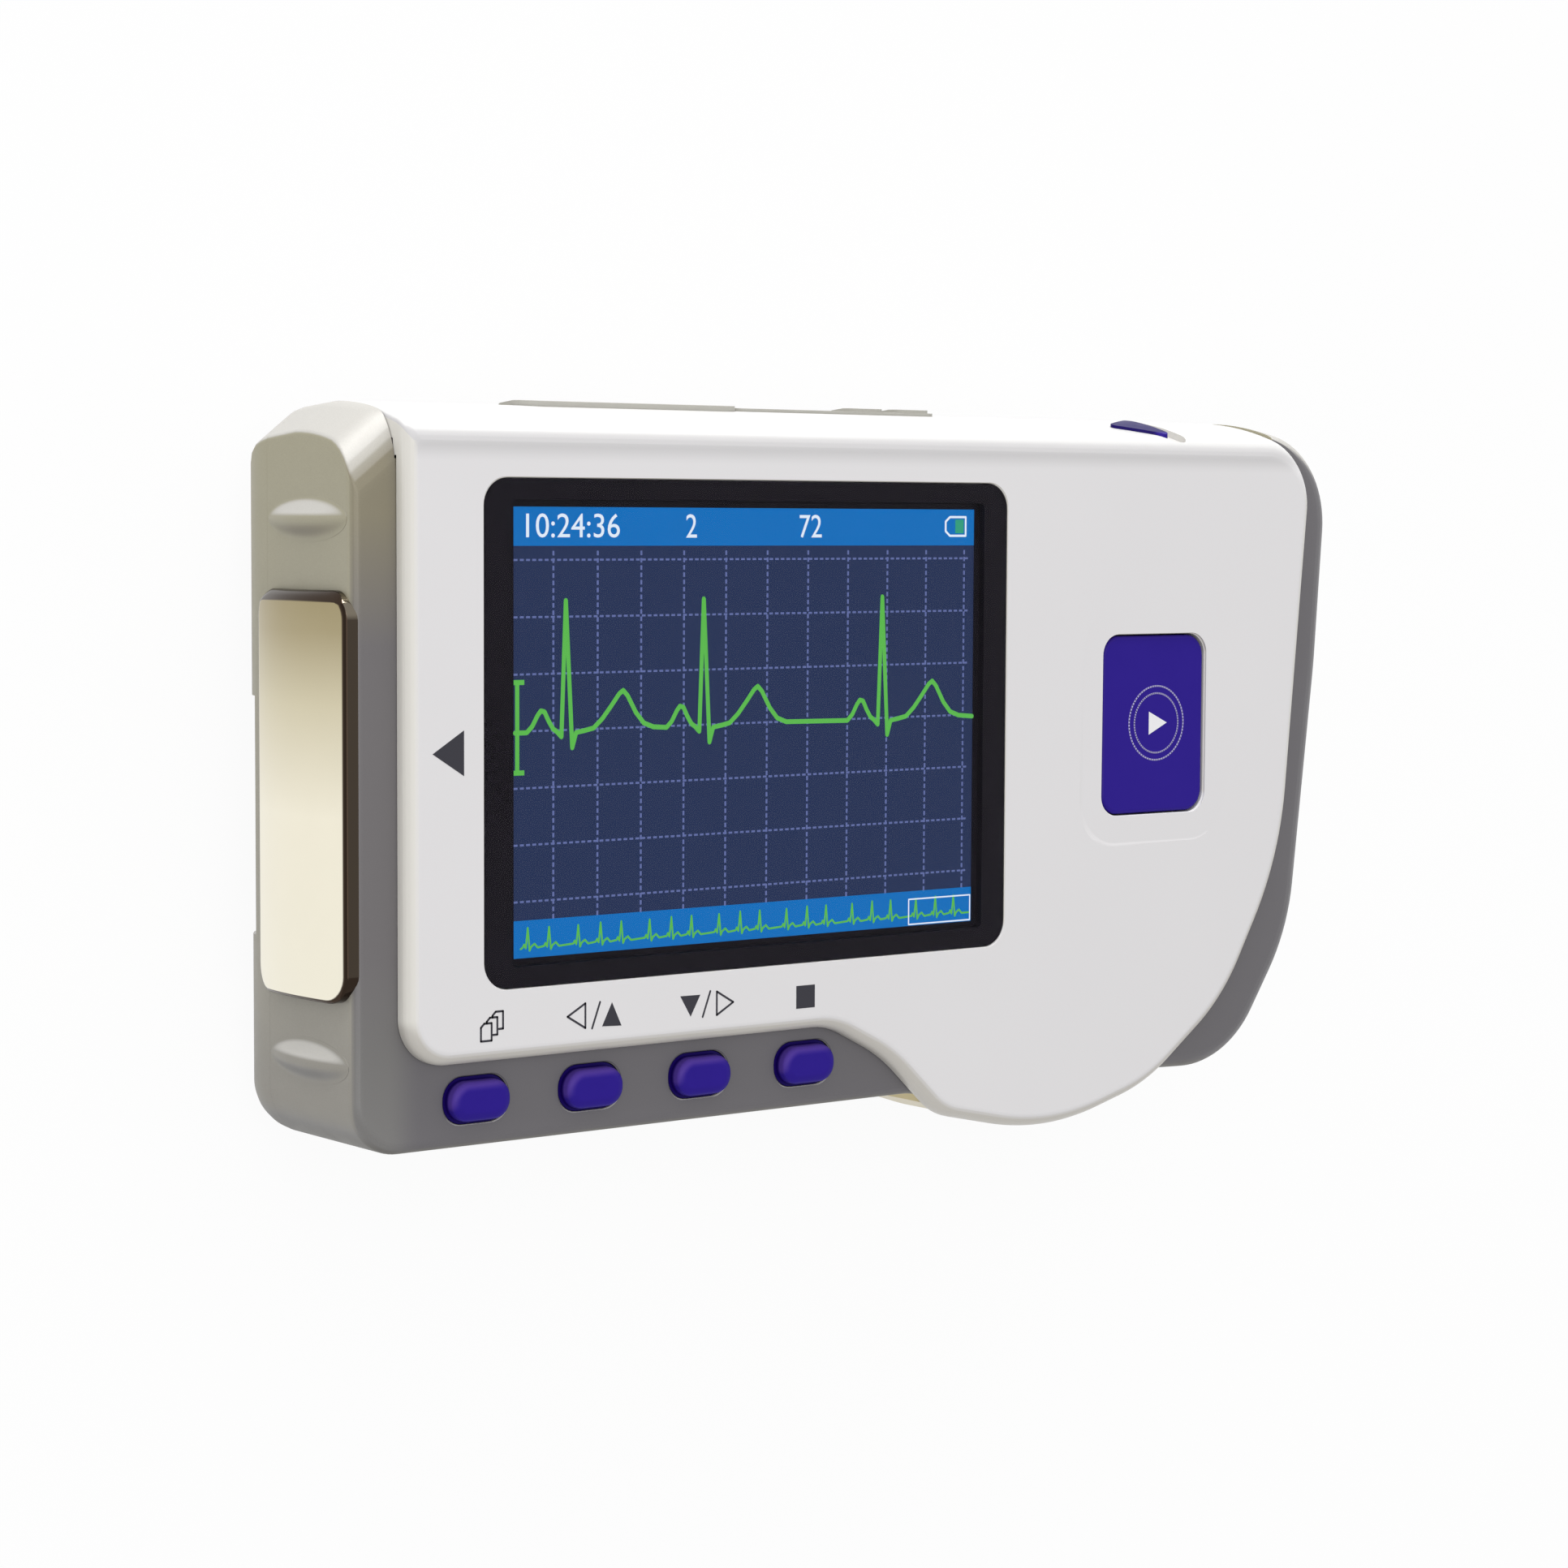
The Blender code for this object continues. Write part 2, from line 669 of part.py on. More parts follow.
def cut_top_fittings(shell):
    """Pockets and holes for the cap, its strap, the plug and the power slider."""
    fit = 2 * SEAM
    skin_pocket(shell, top_prism("cap_pocket", cap_centre(), CAP_HEIGHT, CAP_LENGTH + fit,
                                 CAP_WIDTH + fit, CAP_CORNER), CAP_SINK + SEAM)
    skin_pocket(shell, top_prism("strap_pocket", strap_left() + STRAP_LENGTH / 2, CAP_HEIGHT,
                                 STRAP_LENGTH + fit, STRAP_WIDTH + fit, STRAP_CORNER), CAP_SINK + SEAM)
    cut(shell, top_prism("plug_hole", cap_centre(), CAP_HEIGHT, PLUG_LENGTH + fit,
                         PLUG_WIDTH + fit, STRAP_CORNER))
    return shell


def cut_slider_pocket(shell):
    fit = 2 * SEAM
    middle = KNOB_X + KNOB_TRAVEL / 2
    skin_pocket(shell, knob_prism("knob_pocket", middle, KNOB_LENGTH + KNOB_TRAVEL + fit,
                                  KNOB_WIDTH + fit), KNOB_SINK + SEAM)
    return cut(shell, top_prism("stem_slit", middle, stem_height(), STEM_LENGTH + KNOB_TRAVEL + fit,
                                STEM_WIDTH + fit, LEAST_CORNER))


def make_front_cover():
    """White face with the window pocket, the record key's hole and a skirt over the top side."""
    cover = face_solid("front_cover", SKIRT_HEIGHT + SEAM, BODY_DEPTH, 0, 0)
    flange = GREY_TOP + SEAM
    band = TOP_REACH - SKIRT_BAND
    far = 2 * GRIP_X
    cut(cover, block("below_flange", (-far, -far, 0), (far, band, flange)))
    cut(cover, block("past_skirt", (SKIRT_REACH, 0, 0), (far, far, flange)))
    cut(cover, face_solid("hollow", SKIRT_HEIGHT - OVERRUN, (COVER_UNDER + GREY_TOP) / 2,
                          -OVERRUN, SKIRT_WALL))
    add(cover, ledge_solid("plug", COVER_UNDER, flange + FACE_STEP / 2, LEDGE + SEAM))
    window_fit = 2 * WINDOW_FIT
    cut(cover, rounded_block("window_pocket", (0, 0),
                             (WINDOW_WIDTH + window_fit, WINDOW_HEIGHT + window_fit),
                             WINDOW_CORNER + WINDOW_FIT,
                             [(BODY_DEPTH - WINDOW_THICK - SEAM, 0), (BODY_DEPTH + OVERRUN, 0)]))
    cut(cover, rounded_block("view", (0, 0),
                             (SCREEN_WIDTH + 2 * FRAME_WALL, SCREEN_HEIGHT + 2 * FRAME_WALL),
                             FRAME_WALL, [(COVER_UNDER - OVERRUN, 0), (BODY_DEPTH, 0)]))
    cut(cover, rounded_block("dish", (RECORD_X, RECORD_Y),
                             (RECORD_WIDTH + 2 * DISH_BORDER, RECORD_HEIGHT + 2 * DISH_BORDER),
                             DISH_CORNER, [(BODY_DEPTH - DISH_DEPTH, 0), (BODY_DEPTH + OVERRUN, 0)]))
    cut(cover, rounded_block("record_hole", (RECORD_X, RECORD_Y),
                             (RECORD_WIDTH + 2 * KEY_FIT, RECORD_HEIGHT + 2 * KEY_FIT),
                             RECORD_CORNER + KEY_FIT,
                             [(COVER_UNDER - OVERRUN, 0), (BODY_DEPTH + OVERRUN, 0)]))
    cut_top_fittings(cover)
    return cut_slider_pocket(cover)


def pad_tab(name, place, grow, length):
    """Tab through the end wall behind the end contact."""
    middle = (PAD_BASE + PAD_CREST) / 2
    half = TAB_WIDTH / 2 + grow
    outer = -END_REACH - PAD_PROUD + PAD_SHEET / 2
    return block(name, (outer, place - half, middle - PAD_SHEET / 2 - grow),
                 (-END_REACH + length, place + half, middle + PAD_SHEET / 2 + grow))


def pad_tab_places():
    middle = (PAD_LOW + PAD_HIGH) / 2
    return [middle - TAB_SPACING / 2, middle + TAB_SPACING / 2]


def finger_middle():
    return (FINGER_START_X + FINGER_END_X) / 2, (FINGER_BASE + FINGER_CREST) / 2


def lobe_surface(x):
    """Height on the face of the straight slope under the neck."""
    share = (x - NECK_X) / (LOBE_X - NECK_X)
    return -KEY_SIDE_REACH + share * (KEY_SIDE_REACH - LOBE_REACH)


def finger_prism(name, grow):
    x, height = finger_middle()
    deep = lobe_surface(LOBE_X)
    return side_prism(name, x, height, FINGER_END_X - FINGER_START_X + 2 * grow,
                      FINGER_CREST - FINGER_BASE + 2 * grow, FINGER_CORNER + grow,
                      deep - SKIRT_BAND, lobe_surface(FINGER_START_X) + SKIRT_BAND)


def finger_tab(name, grow):
    """Tab through the lower wall behind the finger contact, longer than needed on the outside."""
    x, height = finger_middle()
    surface = lobe_surface(x)
    half = FINGER_TAB_WIDTH / 2 + grow
    return block(name, (x - half, surface - SKIRT_BAND, height - PAD_SHEET / 2 - grow),
                 (x + half, surface + TAB_LENGTH + grow, height + PAD_SHEET / 2 + grow))


def grip_rib(name, y):
    """Pointed oval ridge that stands half out of the end face."""
    middle = (PAD_BASE + PAD_CREST) / 2
    half_length = PAD_CREST - middle - GRIP_RIB_INSET
    angles = [math.tau * (step + 1 / 2) / SMALL_STEPS for step in range(SMALL_STEPS)]
    rings = []
    for share in GRIP_RIB_SHARES:
        reach = 1 - share ** 2
        rings.append([Vector((-END_REACH + GRIP_RIB_PROUD * reach * math.cos(angle),
                              y + GRIP_RIB_HALF_WIDTH * reach * math.sin(angle),
                              middle + half_length * share)) for angle in angles])
    return loft(name, rings)


def make_main_housing():
    """Grey middle of the case, with the key strip, the end face and the grip's edge."""
    housing = body_loft("main_housing", REAR_SPLIT + SEAM, GREY_TOP, 0)
    cut(housing, body_loft("hollow", REAR_SPLIT - OVERRUN, DECK_UNDER, WALL))
    cut(housing, ledge_solid("opening", DECK_UNDER - OVERRUN, GREY_TOP + OVERRUN, LEDGE))
    far = 2 * GRIP_X
    cut(housing, block("skirt_gap", (-FACE_LEFT - SEAM, TOP_REACH - SKIRT_BAND - SEAM, SKIRT_HEIGHT),
                       (SKIRT_REACH + SEAM, far, far)))
    for x, y in boss_places():
        add(housing, disc("boss", (x, y), BOSS_RADIUS, REAR_SPLIT + SEAM, DECK_UNDER + SEAM))
        cut(housing, disc("pilot", (x, y), SCREW_RADIUS + SEAM, REAR_SPLIT - OVERRUN,
                          SCREW_SINK + SCREW_LENGTH + OVERRUN, SMALL_STEPS))
    for index in range(len(KEY_NAMES)):
        cut(housing, rounded_block("key_hole", key_place(index),
                                   (KEY_LENGTH + 2 * KEY_FIT, KEY_WIDTH + 2 * KEY_FIT),
                                   KEY_CORNER + KEY_FIT,
                                   [(DECK_UNDER - OVERRUN, 0), (GREY_TOP + OVERRUN, 0)]))
    for place in pad_tab_places():
        cut(housing, pad_tab("tab_slot", place, SEAM, TAB_LENGTH + OVERRUN))
    skin_pocket(housing, finger_prism("finger_pocket", SEAM), FINGER_SHEET - FINGER_PROUD + SEAM)
    cut(housing, finger_tab("finger_slot", SEAM))
    for y in (PAD_LOW - GRIP_RIB_LOW_GAP, PAD_HIGH + GRIP_RIB_HIGH_GAP):
        add(housing, grip_rib("grip_rib", y))
    return cut_top_fittings(housing)


def door_block(name, gap, rise):
    """Region of the battery door, smaller by gap on its free edges."""
    return block(name, (-2 * END_REACH, BAY_Y - BAY_HALF_WIDTH + gap, -OVERRUN),
                 (BAY_X + BAY_HALF_LENGTH - gap, BAY_Y + BAY_HALF_WIDTH - gap, rise))


def make_rear_cover():
    """Grey back with screw bosses and the tray of the battery bay."""
    cover = body_loft("rear_cover", 0, REAR_SPLIT, 0)
    cut(cover, body_loft("hollow", REAR_WALL, REAR_SPLIT + OVERRUN, REAR_WALL))
    cut(cover, door_block("door_gap", 0, DOOR_RISE + SEAM))
    half_length, half_width = BAY_HALF_LENGTH + BAY_WALL, BAY_HALF_WIDTH + BAY_WALL
    tray = block("tray", (BAY_X - half_length, BAY_Y - half_width, REAR_WALL / 2),
                 (BAY_X + half_length, BAY_Y + half_width, BAY_TOP))
    cut(tray, block("cells", (BAY_X - BAY_HALF_LENGTH, BAY_Y - BAY_HALF_WIDTH, -OVERRUN),
                    (BAY_X + BAY_HALF_LENGTH, BAY_Y + BAY_HALF_WIDTH, BAY_ROOF)))
    cut(tray, door_block("door_way", 0, DOOR_INSIDE + SEAM))
    add(cover, tray)
    for x, y in boss_places():
        boss = disc("boss", (x, y), BOSS_RADIUS, 0, REAR_SPLIT)
        keep(boss, body_loft("inside", REAR_WALL / 2, REAR_SPLIT + OVERRUN, REAR_WALL / 2))
        add(cover, boss)
        cut(cover, disc("screw_way", (x, y), SCREW_RADIUS + SEAM, -OVERRUN, REAR_SPLIT + OVERRUN,
                        SMALL_STEPS))
        cut(cover, disc("head_way", (x, y), SCREW_HEAD_RADIUS + SEAM, -OVERRUN,
                        SCREW_SINK + SCREW_HEAD_THICK + SEAM, SMALL_STEPS))
    return cover


def make_battery_door():
    """Door sunk a little below the back, which it wraps round under the end contact."""
    door = door_block("battery_door", SEAM, DOOR_RISE)
    keep(door, body_loft("outside", DOOR_SINK, DOOR_RISE + OVERRUN, DOOR_SINK))
    cut(door, body_loft("inside", DOOR_INSIDE, DOOR_RISE + OVERRUN, DOOR_INSIDE))
    last = BAY_X + BAY_HALF_LENGTH - DOOR_RIB_LENGTH / 2
    for index in range(DOOR_RIBS):
        cut(door, upright_slot("groove", last - index * DOOR_RIB_PITCH, BAY_Y, DOOR_RIB_WIDTH,
                               DOOR_RIB_LENGTH, -OVERRUN, DOOR_SINK + DOOR_RIB_DEPTH))
    return door


def make_screen_window():
    return rounded_block("screen_window", (0, 0), (WINDOW_WIDTH, WINDOW_HEIGHT),
                         WINDOW_CORNER, [(BODY_DEPTH - WINDOW_THICK, 0), (BODY_DEPTH, 0)])


def panel_size():
    return SCREEN_WIDTH + 2 * PANEL_BORDER, SCREEN_HEIGHT + 2 * PANEL_BORDER


def make_display_panel():
    top = COVER_UNDER - SEAM
    return rounded_block("display_panel", (0, 0), panel_size(), LEAST_CORNER,
                         [(top - PANEL_THICK, 0), (top, 0)])


def make_display_frame():
    """Frame that stands on the board and carries the display on a shelf."""
    width, height = panel_size()
    grow = 2 * (SEAM + FRAME_WALL)
    low, top = BOARD_FACE + SEAM, COVER_UNDER - SEAM
    frame = rounded_block("display_frame", (0, 0), (width + grow, height + grow),
                          FRAME_WALL + SEAM, [(low, 0), (top, 0)])
    cut(frame, rounded_block("seat", (0, 0), (width + 2 * SEAM, height + 2 * SEAM), LEAST_CORNER,
                             [(top - PANEL_THICK - SEAM, 0), (top + OVERRUN, 0)]))
    return cut(frame, rounded_block("well", (0, 0), (width - grow, height - grow), LEAST_CORNER,
                                    [(low - OVERRUN, 0), (top, 0)]))


def make_main_board():
    corners = [(-BOARD_LEFT, -BOARD_LOW, BOARD_CORNER, 3), (BOARD_RIGHT, -BOARD_LOW, BOARD_HEEL_CORNER, 4),
               (BOARD_RIGHT, BOARD_TOP, BOARD_CORNER, 3), (-BOARD_LEFT, BOARD_TOP, BOARD_CORNER, 3)]
    return outline_loft("main_board", corners, [(BOARD_BASE, [0] * 4), (BOARD_FACE, [0] * 4)])


def record_base():
    return COVER_UNDER - SEAM - FLANGE_THICK


def key_base():
    return DECK_UNDER - SEAM - FLANGE_THICK


def make_record_key():
    """Large rectangular key in the white face, held by a flange behind it."""
    top = BODY_DEPTH - RECORD_SINK
    size = (RECORD_WIDTH, RECORD_HEIGHT)
    key = rounded_block("record_key", (RECORD_X, RECORD_Y), size, RECORD_CORNER,
                        [(record_base(), 0)] + crown_levels(top, LEAST_CORNER))
    grown = (RECORD_WIDTH + 2 * RECORD_FLANGE, RECORD_HEIGHT + 2 * RECORD_FLANGE)
    return add(key, rounded_block("flange", (RECORD_X, RECORD_Y), grown, RECORD_CORNER,
                                  [(record_base(), 0), (record_base() + FLANGE_THICK, 0)]))


def make_oval_key(index):
    """Small oval key with a softly rounded crown."""
    x, y = key_place(index)
    key = rounded_block(KEY_NAMES[index] + "_key", (x, y), (KEY_LENGTH, KEY_WIDTH), KEY_CORNER,
                        [(key_base(), 0)] + crown_levels(GREY_TOP + KEY_PROUD, KEY_CROWN))
    grown = (KEY_LENGTH + 2 * KEY_FLANGE, KEY_WIDTH + 2 * KEY_FLANGE)
    return add(key, rounded_block("flange", (x, y), grown, KEY_CORNER + KEY_FLANGE,
                                  [(key_base(), 0), (key_base() + FLANGE_THICK, 0)]))


def make_switch(name, place, side, key_under, travel):
    """Tactile switch on the board, whose plunger ends just under the pressed key."""
    low = BOARD_FACE + SEAM
    switch = rounded_block(name, place, (side, side), LEAST_CORNER, [(low, 0), (low + SWITCH_BASE, 0)])
    return add(switch, disc("plunger", place, PLUNGER_RADIUS, low + SWITCH_BASE / 2,
                            key_under - travel - SEAM, SMALL_STEPS))


def slider_body_top():
    return skirt_inside(stem_height()) - 2 * SEAM


def make_power_knob():
    """Power slider with the stem that works the slide switch."""
    prism = knob_prism("power_switch", KNOB_X, KNOB_LENGTH, KNOB_WIDTH)
    knob = skin_piece("power_switch", prism, KNOB_PROUD, KNOB_SINK)
    surface = TOP_REACH - top_draw(stem_height(), 0)
    return add(knob, block("stem", (KNOB_X - STEM_LENGTH / 2, slider_body_top() + SEAM,
                                    stem_height() - STEM_WIDTH / 2),
                           (KNOB_X + STEM_LENGTH / 2, surface - KNOB_SINK / 2,
                            stem_height() + STEM_WIDTH / 2)))


def make_slide_switch():
    low = BOARD_FACE + SEAM
    top = slider_body_top()
    middle = KNOB_X + KNOB_TRAVEL / 2
    return block("power_switch_body", (middle - SLIDER_BODY_LENGTH / 2, top - SLIDER_BODY_WIDTH, low),
                 (middle + SLIDER_BODY_LENGTH / 2, top, low + SLIDER_BODY_RISE))


def make_socket_cap():
    """Soft cap over the data socket, with the plug on its inside."""
    prism = top_prism("socket_cap", cap_centre(), CAP_HEIGHT, CAP_LENGTH, CAP_WIDTH, CAP_CORNER)
    cap = skin_piece("socket_cap", prism, CAP_PROUD, CAP_SINK)
    outer = TOP_REACH - CAP_SINK / 2
    inner = TOP_REACH - CAP_SINK - PLUG_REACH
    return add(cap, side_prism("plug", cap_centre(), CAP_HEIGHT, PLUG_LENGTH, PLUG_WIDTH,
                               STRAP_CORNER - SEAM, inner, outer))


def make_cap_strap():
    """Strap that ties the cap to the case, with two cross ribs."""
    middle = strap_left() + STRAP_LENGTH / 2
    strap = skin_piece("cap_strap", top_prism("cap_strap", middle, CAP_HEIGHT, STRAP_LENGTH, STRAP_WIDTH,
                                              STRAP_CORNER), STRAP_PROUD, CAP_SINK)
    for share in STRAP_RIB_SHARES:
        rib = top_prism("rib", strap_left() + STRAP_LENGTH * share, CAP_HEIGHT, STRAP_RIB_LENGTH,
                        STRAP_WIDTH - 2 * SEAM, STRAP_CORNER)
        add(strap, skin_piece("rib", rib, STRAP_RIB_PROUD, CAP_SINK / 2))
    return strap


def make_data_socket():
    """Shielded socket under the board's upper edge, open towards the plug."""
    x, top = cap_centre(), BOARD_BASE - SEAM
    mouth = TOP_REACH - CAP_SINK - PLUG_REACH - SEAM
    socket = block("data_socket", (x - SOCKET_WIDTH / 2, mouth - SOCKET_DEPTH, top - SOCKET_RISE),
                   (x + SOCKET_WIDTH / 2, mouth, top))
    middle = top - SOCKET_RISE / 2
    return cut(socket, block("mouth", (x - SOCKET_MOUTH_WIDTH / 2, mouth - SOCKET_MOUTH_DEPTH,
                                       middle - SOCKET_MOUTH_RISE / 2),
                             (x + SOCKET_MOUTH_WIDTH / 2, mouth + OVERRUN, middle + SOCKET_MOUTH_RISE / 2)))


def make_end_electrode():
    """Pressed metal plate with bent edges on the end face."""
    width, height = PAD_CREST - PAD_BASE, PAD_HIGH - PAD_LOW
    plate = outline_loft("end_electrode", rectangle(width, height, PAD_CORNER),
                         [(h, [i] * 4) for h, i in [(SEAM, 0)] + crown_levels(PAD_PROUD, PAD_ROUND)])
    inside = PAD_PROUD - PAD_SHEET
    cut(plate, outline_loft("pressing", rectangle(width, height, PAD_CORNER),
                            [(-OVERRUN, [PAD_SHEET] * 4), (inside, [PAD_SHEET] * 4)]))
    turn_mesh(plate, -math.pi / 2, 'Y')
    shift(plate, (-END_REACH, (PAD_LOW + PAD_HIGH) / 2, (PAD_BASE + PAD_CREST) / 2))
    for place in pad_tab_places():
        add(plate, pad_tab("tab", place, 0, TAB_LENGTH))
    return plate


def make_finger_electrode():
    """Metal strip round the underside of the neck, for a finger of the gripping hand."""
    strip = skin_piece("finger_electrode", finger_prism("finger_electrode", 0), FINGER_PROUD,
                       FINGER_SHEET - FINGER_PROUD)
    return add(strip, keep(finger_tab("tab", 0), skin_block("skin", 0)))


def cell_rows():
    offset = CELL_RADIUS + CELL_GAP / 2
    return BAY_Y - offset, BAY_Y + offset


def make_cell(name, y, facing):
    """AAA cell along X; facing is 1 where its nub points right and -1 where it points left."""
    shoulder = CELL_LENGTH / 2 - CELL_NUB
    profile = [(CELL_RADIUS - LEAST_CORNER / 2, -CELL_LENGTH / 2),
               (CELL_RADIUS, -CELL_LENGTH / 2 + LEAST_CORNER / 2),
               (CELL_RADIUS, shoulder - LEAST_CORNER / 2), (CELL_RADIUS - LEAST_CORNER / 2, shoulder),
               (CELL_NUB_RADIUS, shoulder), (CELL_NUB_RADIUS, CELL_LENGTH / 2)]
    cell = turned(name, (0, 0), profile)
    turn_mesh(cell, facing * math.pi / 2, 'Y')
    return shift(cell, (BAY_X + facing * SPRING_LENGTH / 2, y, CELL_AXIS))


def contact_plate(name, x, low, high):
    return block(name, (x - PLATE_THICK / 2, low, CELL_AXIS - PLATE_WIDTH / 2),
                 (x + PLATE_THICK / 2, high, CELL_AXIS + PLATE_WIDTH / 2))


def make_contacts():
    """Plates at both ends of the bay: one joins the two cells, two take the leads."""
    reach = BAY_HALF_LENGTH - SEAM - PLATE_THICK / 2
    near, far = cell_rows()
    half = PLATE_WIDTH / 2
    return [contact_plate("bridge_plate", BAY_X - reach, near - half, far + half),
            contact_plate("positive_plate", BAY_X + reach, near - half, near + half),
            contact_plate("negative_plate", BAY_X + reach, far - half, far + half)]


def make_spring(name, x, y, facing):
    """Compression spring between a plate and the flat end of a cell."""
    run = SPRING_LENGTH - SEAM - SPRING_WIRE
    rings = []
    for step in range(SPRING_TURNS * COIL_STEPS + 1):
        turn = math.tau * step / COIL_STEPS
        along = SEAM + SPRING_WIRE / 2 + run * step / (SPRING_TURNS * COIL_STEPS)
        ring = []
        for side in range(WIRE_STEPS):
            angle = math.tau * side / WIRE_STEPS
            radius = SPRING_RADIUS + SPRING_WIRE / 2 * math.cos(angle)
            ring.append(Vector((x + facing * (along + SPRING_WIRE / 2 * math.sin(angle)),
                                y + radius * math.cos(turn), CELL_AXIS + radius * math.sin(turn))))
        rings.append(ring)
    return loft(name, rings)


def make_springs():
    reach = BAY_HALF_LENGTH - SEAM - PLATE_THICK
    near, far = cell_rows()
    return [make_spring("bridge_spring", BAY_X - reach, near, 1),
            make_spring("negative_spring", BAY_X + reach, far, -1)]


def make_sounder():
    low = BOARD_FACE + SEAM
    return disc("sounder", (SOUNDER_X, SOUNDER_Y), SOUNDER_RADIUS, low, low + SOUNDER_THICK)


def make_screw(name, x, y):
    """Case screw with a slotted head, driven in from the back."""
    seat = SCREW_SINK + SCREW_HEAD_THICK
    screw = turned(name, (x, y), [(SCREW_HEAD_RADIUS, SCREW_SINK), (SCREW_HEAD_RADIUS, seat),
                                  (SCREW_RADIUS, seat), (SCREW_RADIUS, SCREW_SINK + SCREW_LENGTH)],
                   SMALL_STEPS)
    return cut(screw, upright_slot("slot", x, y, SLOT_WIDTH, 2 * BOSS_RADIUS, 0, SCREW_SINK + SLOT_DEPTH))


def strip_along(name, path, width, thickness):
    """Flat strip bent along a path of places, with its width across the path's plane."""
    points = [Vector(point) for point in path]
    across = (points[1] - points[0]).cross(points[-1] - points[0]).normalized()
    rings = []
    for index, point in enumerate(points):
        before = points[max(index - 1, 0)]
        after = points[min(index + 1, len(points) - 1)]
        rise = (after - before).normalized().cross(across).normalized() * thickness / 2
        side = across * width / 2
        rings.append([point - side - rise, point + side - rise, point + side + rise, point - side + rise])
    return loft(name, rings)


def make_display_ribbon():
    """Flat cable folded between the back of the display and the board."""
    high = COVER_UNDER - 2 * SEAM - PANEL_THICK - RIBBON_THICK / 2
    low = BOARD_FACE + SEAM + RIBBON_THICK / 2
    radius = (high - low) / 2
    fold = -SCREEN_HEIGHT / 4
    path = [(0, 0, high)]
    for step in range(CORNER_STEPS + 1):
        angle = math.pi * step / CORNER_STEPS
        path.append((0, fold - radius * math.sin(angle), low + radius * (1 + math.cos(angle))))
    path.append((0, 0, low))
    return strip_along("display_ribbon", path, RIBBON_WIDTH, RIBBON_THICK)


def make_lead_springs():
    """Bent leaves that carry the skin contacts' signal to the board."""
    rest = BOARD_FACE + SEAM + LEAD_THICK / 2
    tab_end = -END_REACH + TAB_LENGTH + SEAM
    middle = (PAD_BASE + PAD_CREST) / 2
    y = pad_tab_places()[1]
    end_leaf = strip_along("end_lead_spring", [
        (tab_end + LEAD_THICK / 2, y, middle - PAD_SHEET / 2), (tab_end + LEAD_THICK, y, rest - LEAD_THICK),
        (tab_end + 3 * LEAD_THICK, y, rest), (-BOARD_LEFT + LEAD_WIDTH, y, rest)], LEAD_WIDTH, LEAD_THICK)
    x, height = finger_middle()
    start = lobe_surface(x) + TAB_LENGTH + SEAM
    finger_leaf = strip_along("finger_lead_spring", [
        (x, start + LEAD_THICK / 2, height - PAD_SHEET / 2), (x, start + LEAD_THICK, rest - LEAD_THICK),
        (x, start + 3 * LEAD_THICK, rest), (x, -BOARD_LOW + LEAD_WIDTH, rest)], LEAD_WIDTH, LEAD_THICK)
    return [end_leaf, finger_leaf]


# Base colour in linear values, roughness and whether metal, for each finish
FINISHES = {
    "white_plastic": ((0.78, 0.78, 0.78), 0.32, 0),
    "grey_plastic": ((0.30, 0.285, 0.24), 0.42, 0),
    "soft_grey": ((0.17, 0.165, 0.175), 0.6, 0),
    "dark_window": ((0.01, 0.009, 0.013), 0.12, 0),
    "screen_blue": ((0.02, 0.05, 0.12), 0.3, 0),
    "violet_key": ((0.026, 0.011, 0.24), 0.35, 0),
    "polished_metal": ((0.72, 0.66, 0.52), 0.15, 1),
    "gold_metal": ((0.72, 0.55, 0.28), 0.22, 1),
    "steel": ((0.6, 0.6, 0.6), 0.3, 1),
    "board_green": ((0.012, 0.12, 0.045), 0.5, 0),
    "black_plastic": ((0.02, 0.02, 0.022), 0.45, 0),
    "ribbon_amber": ((0.5, 0.22, 0.05), 0.4, 0),
    "cell_jacket": ((0.04, 0.05, 0.07), 0.3, 0),
}
SMOOTH_ANGLE = math.radians(32)


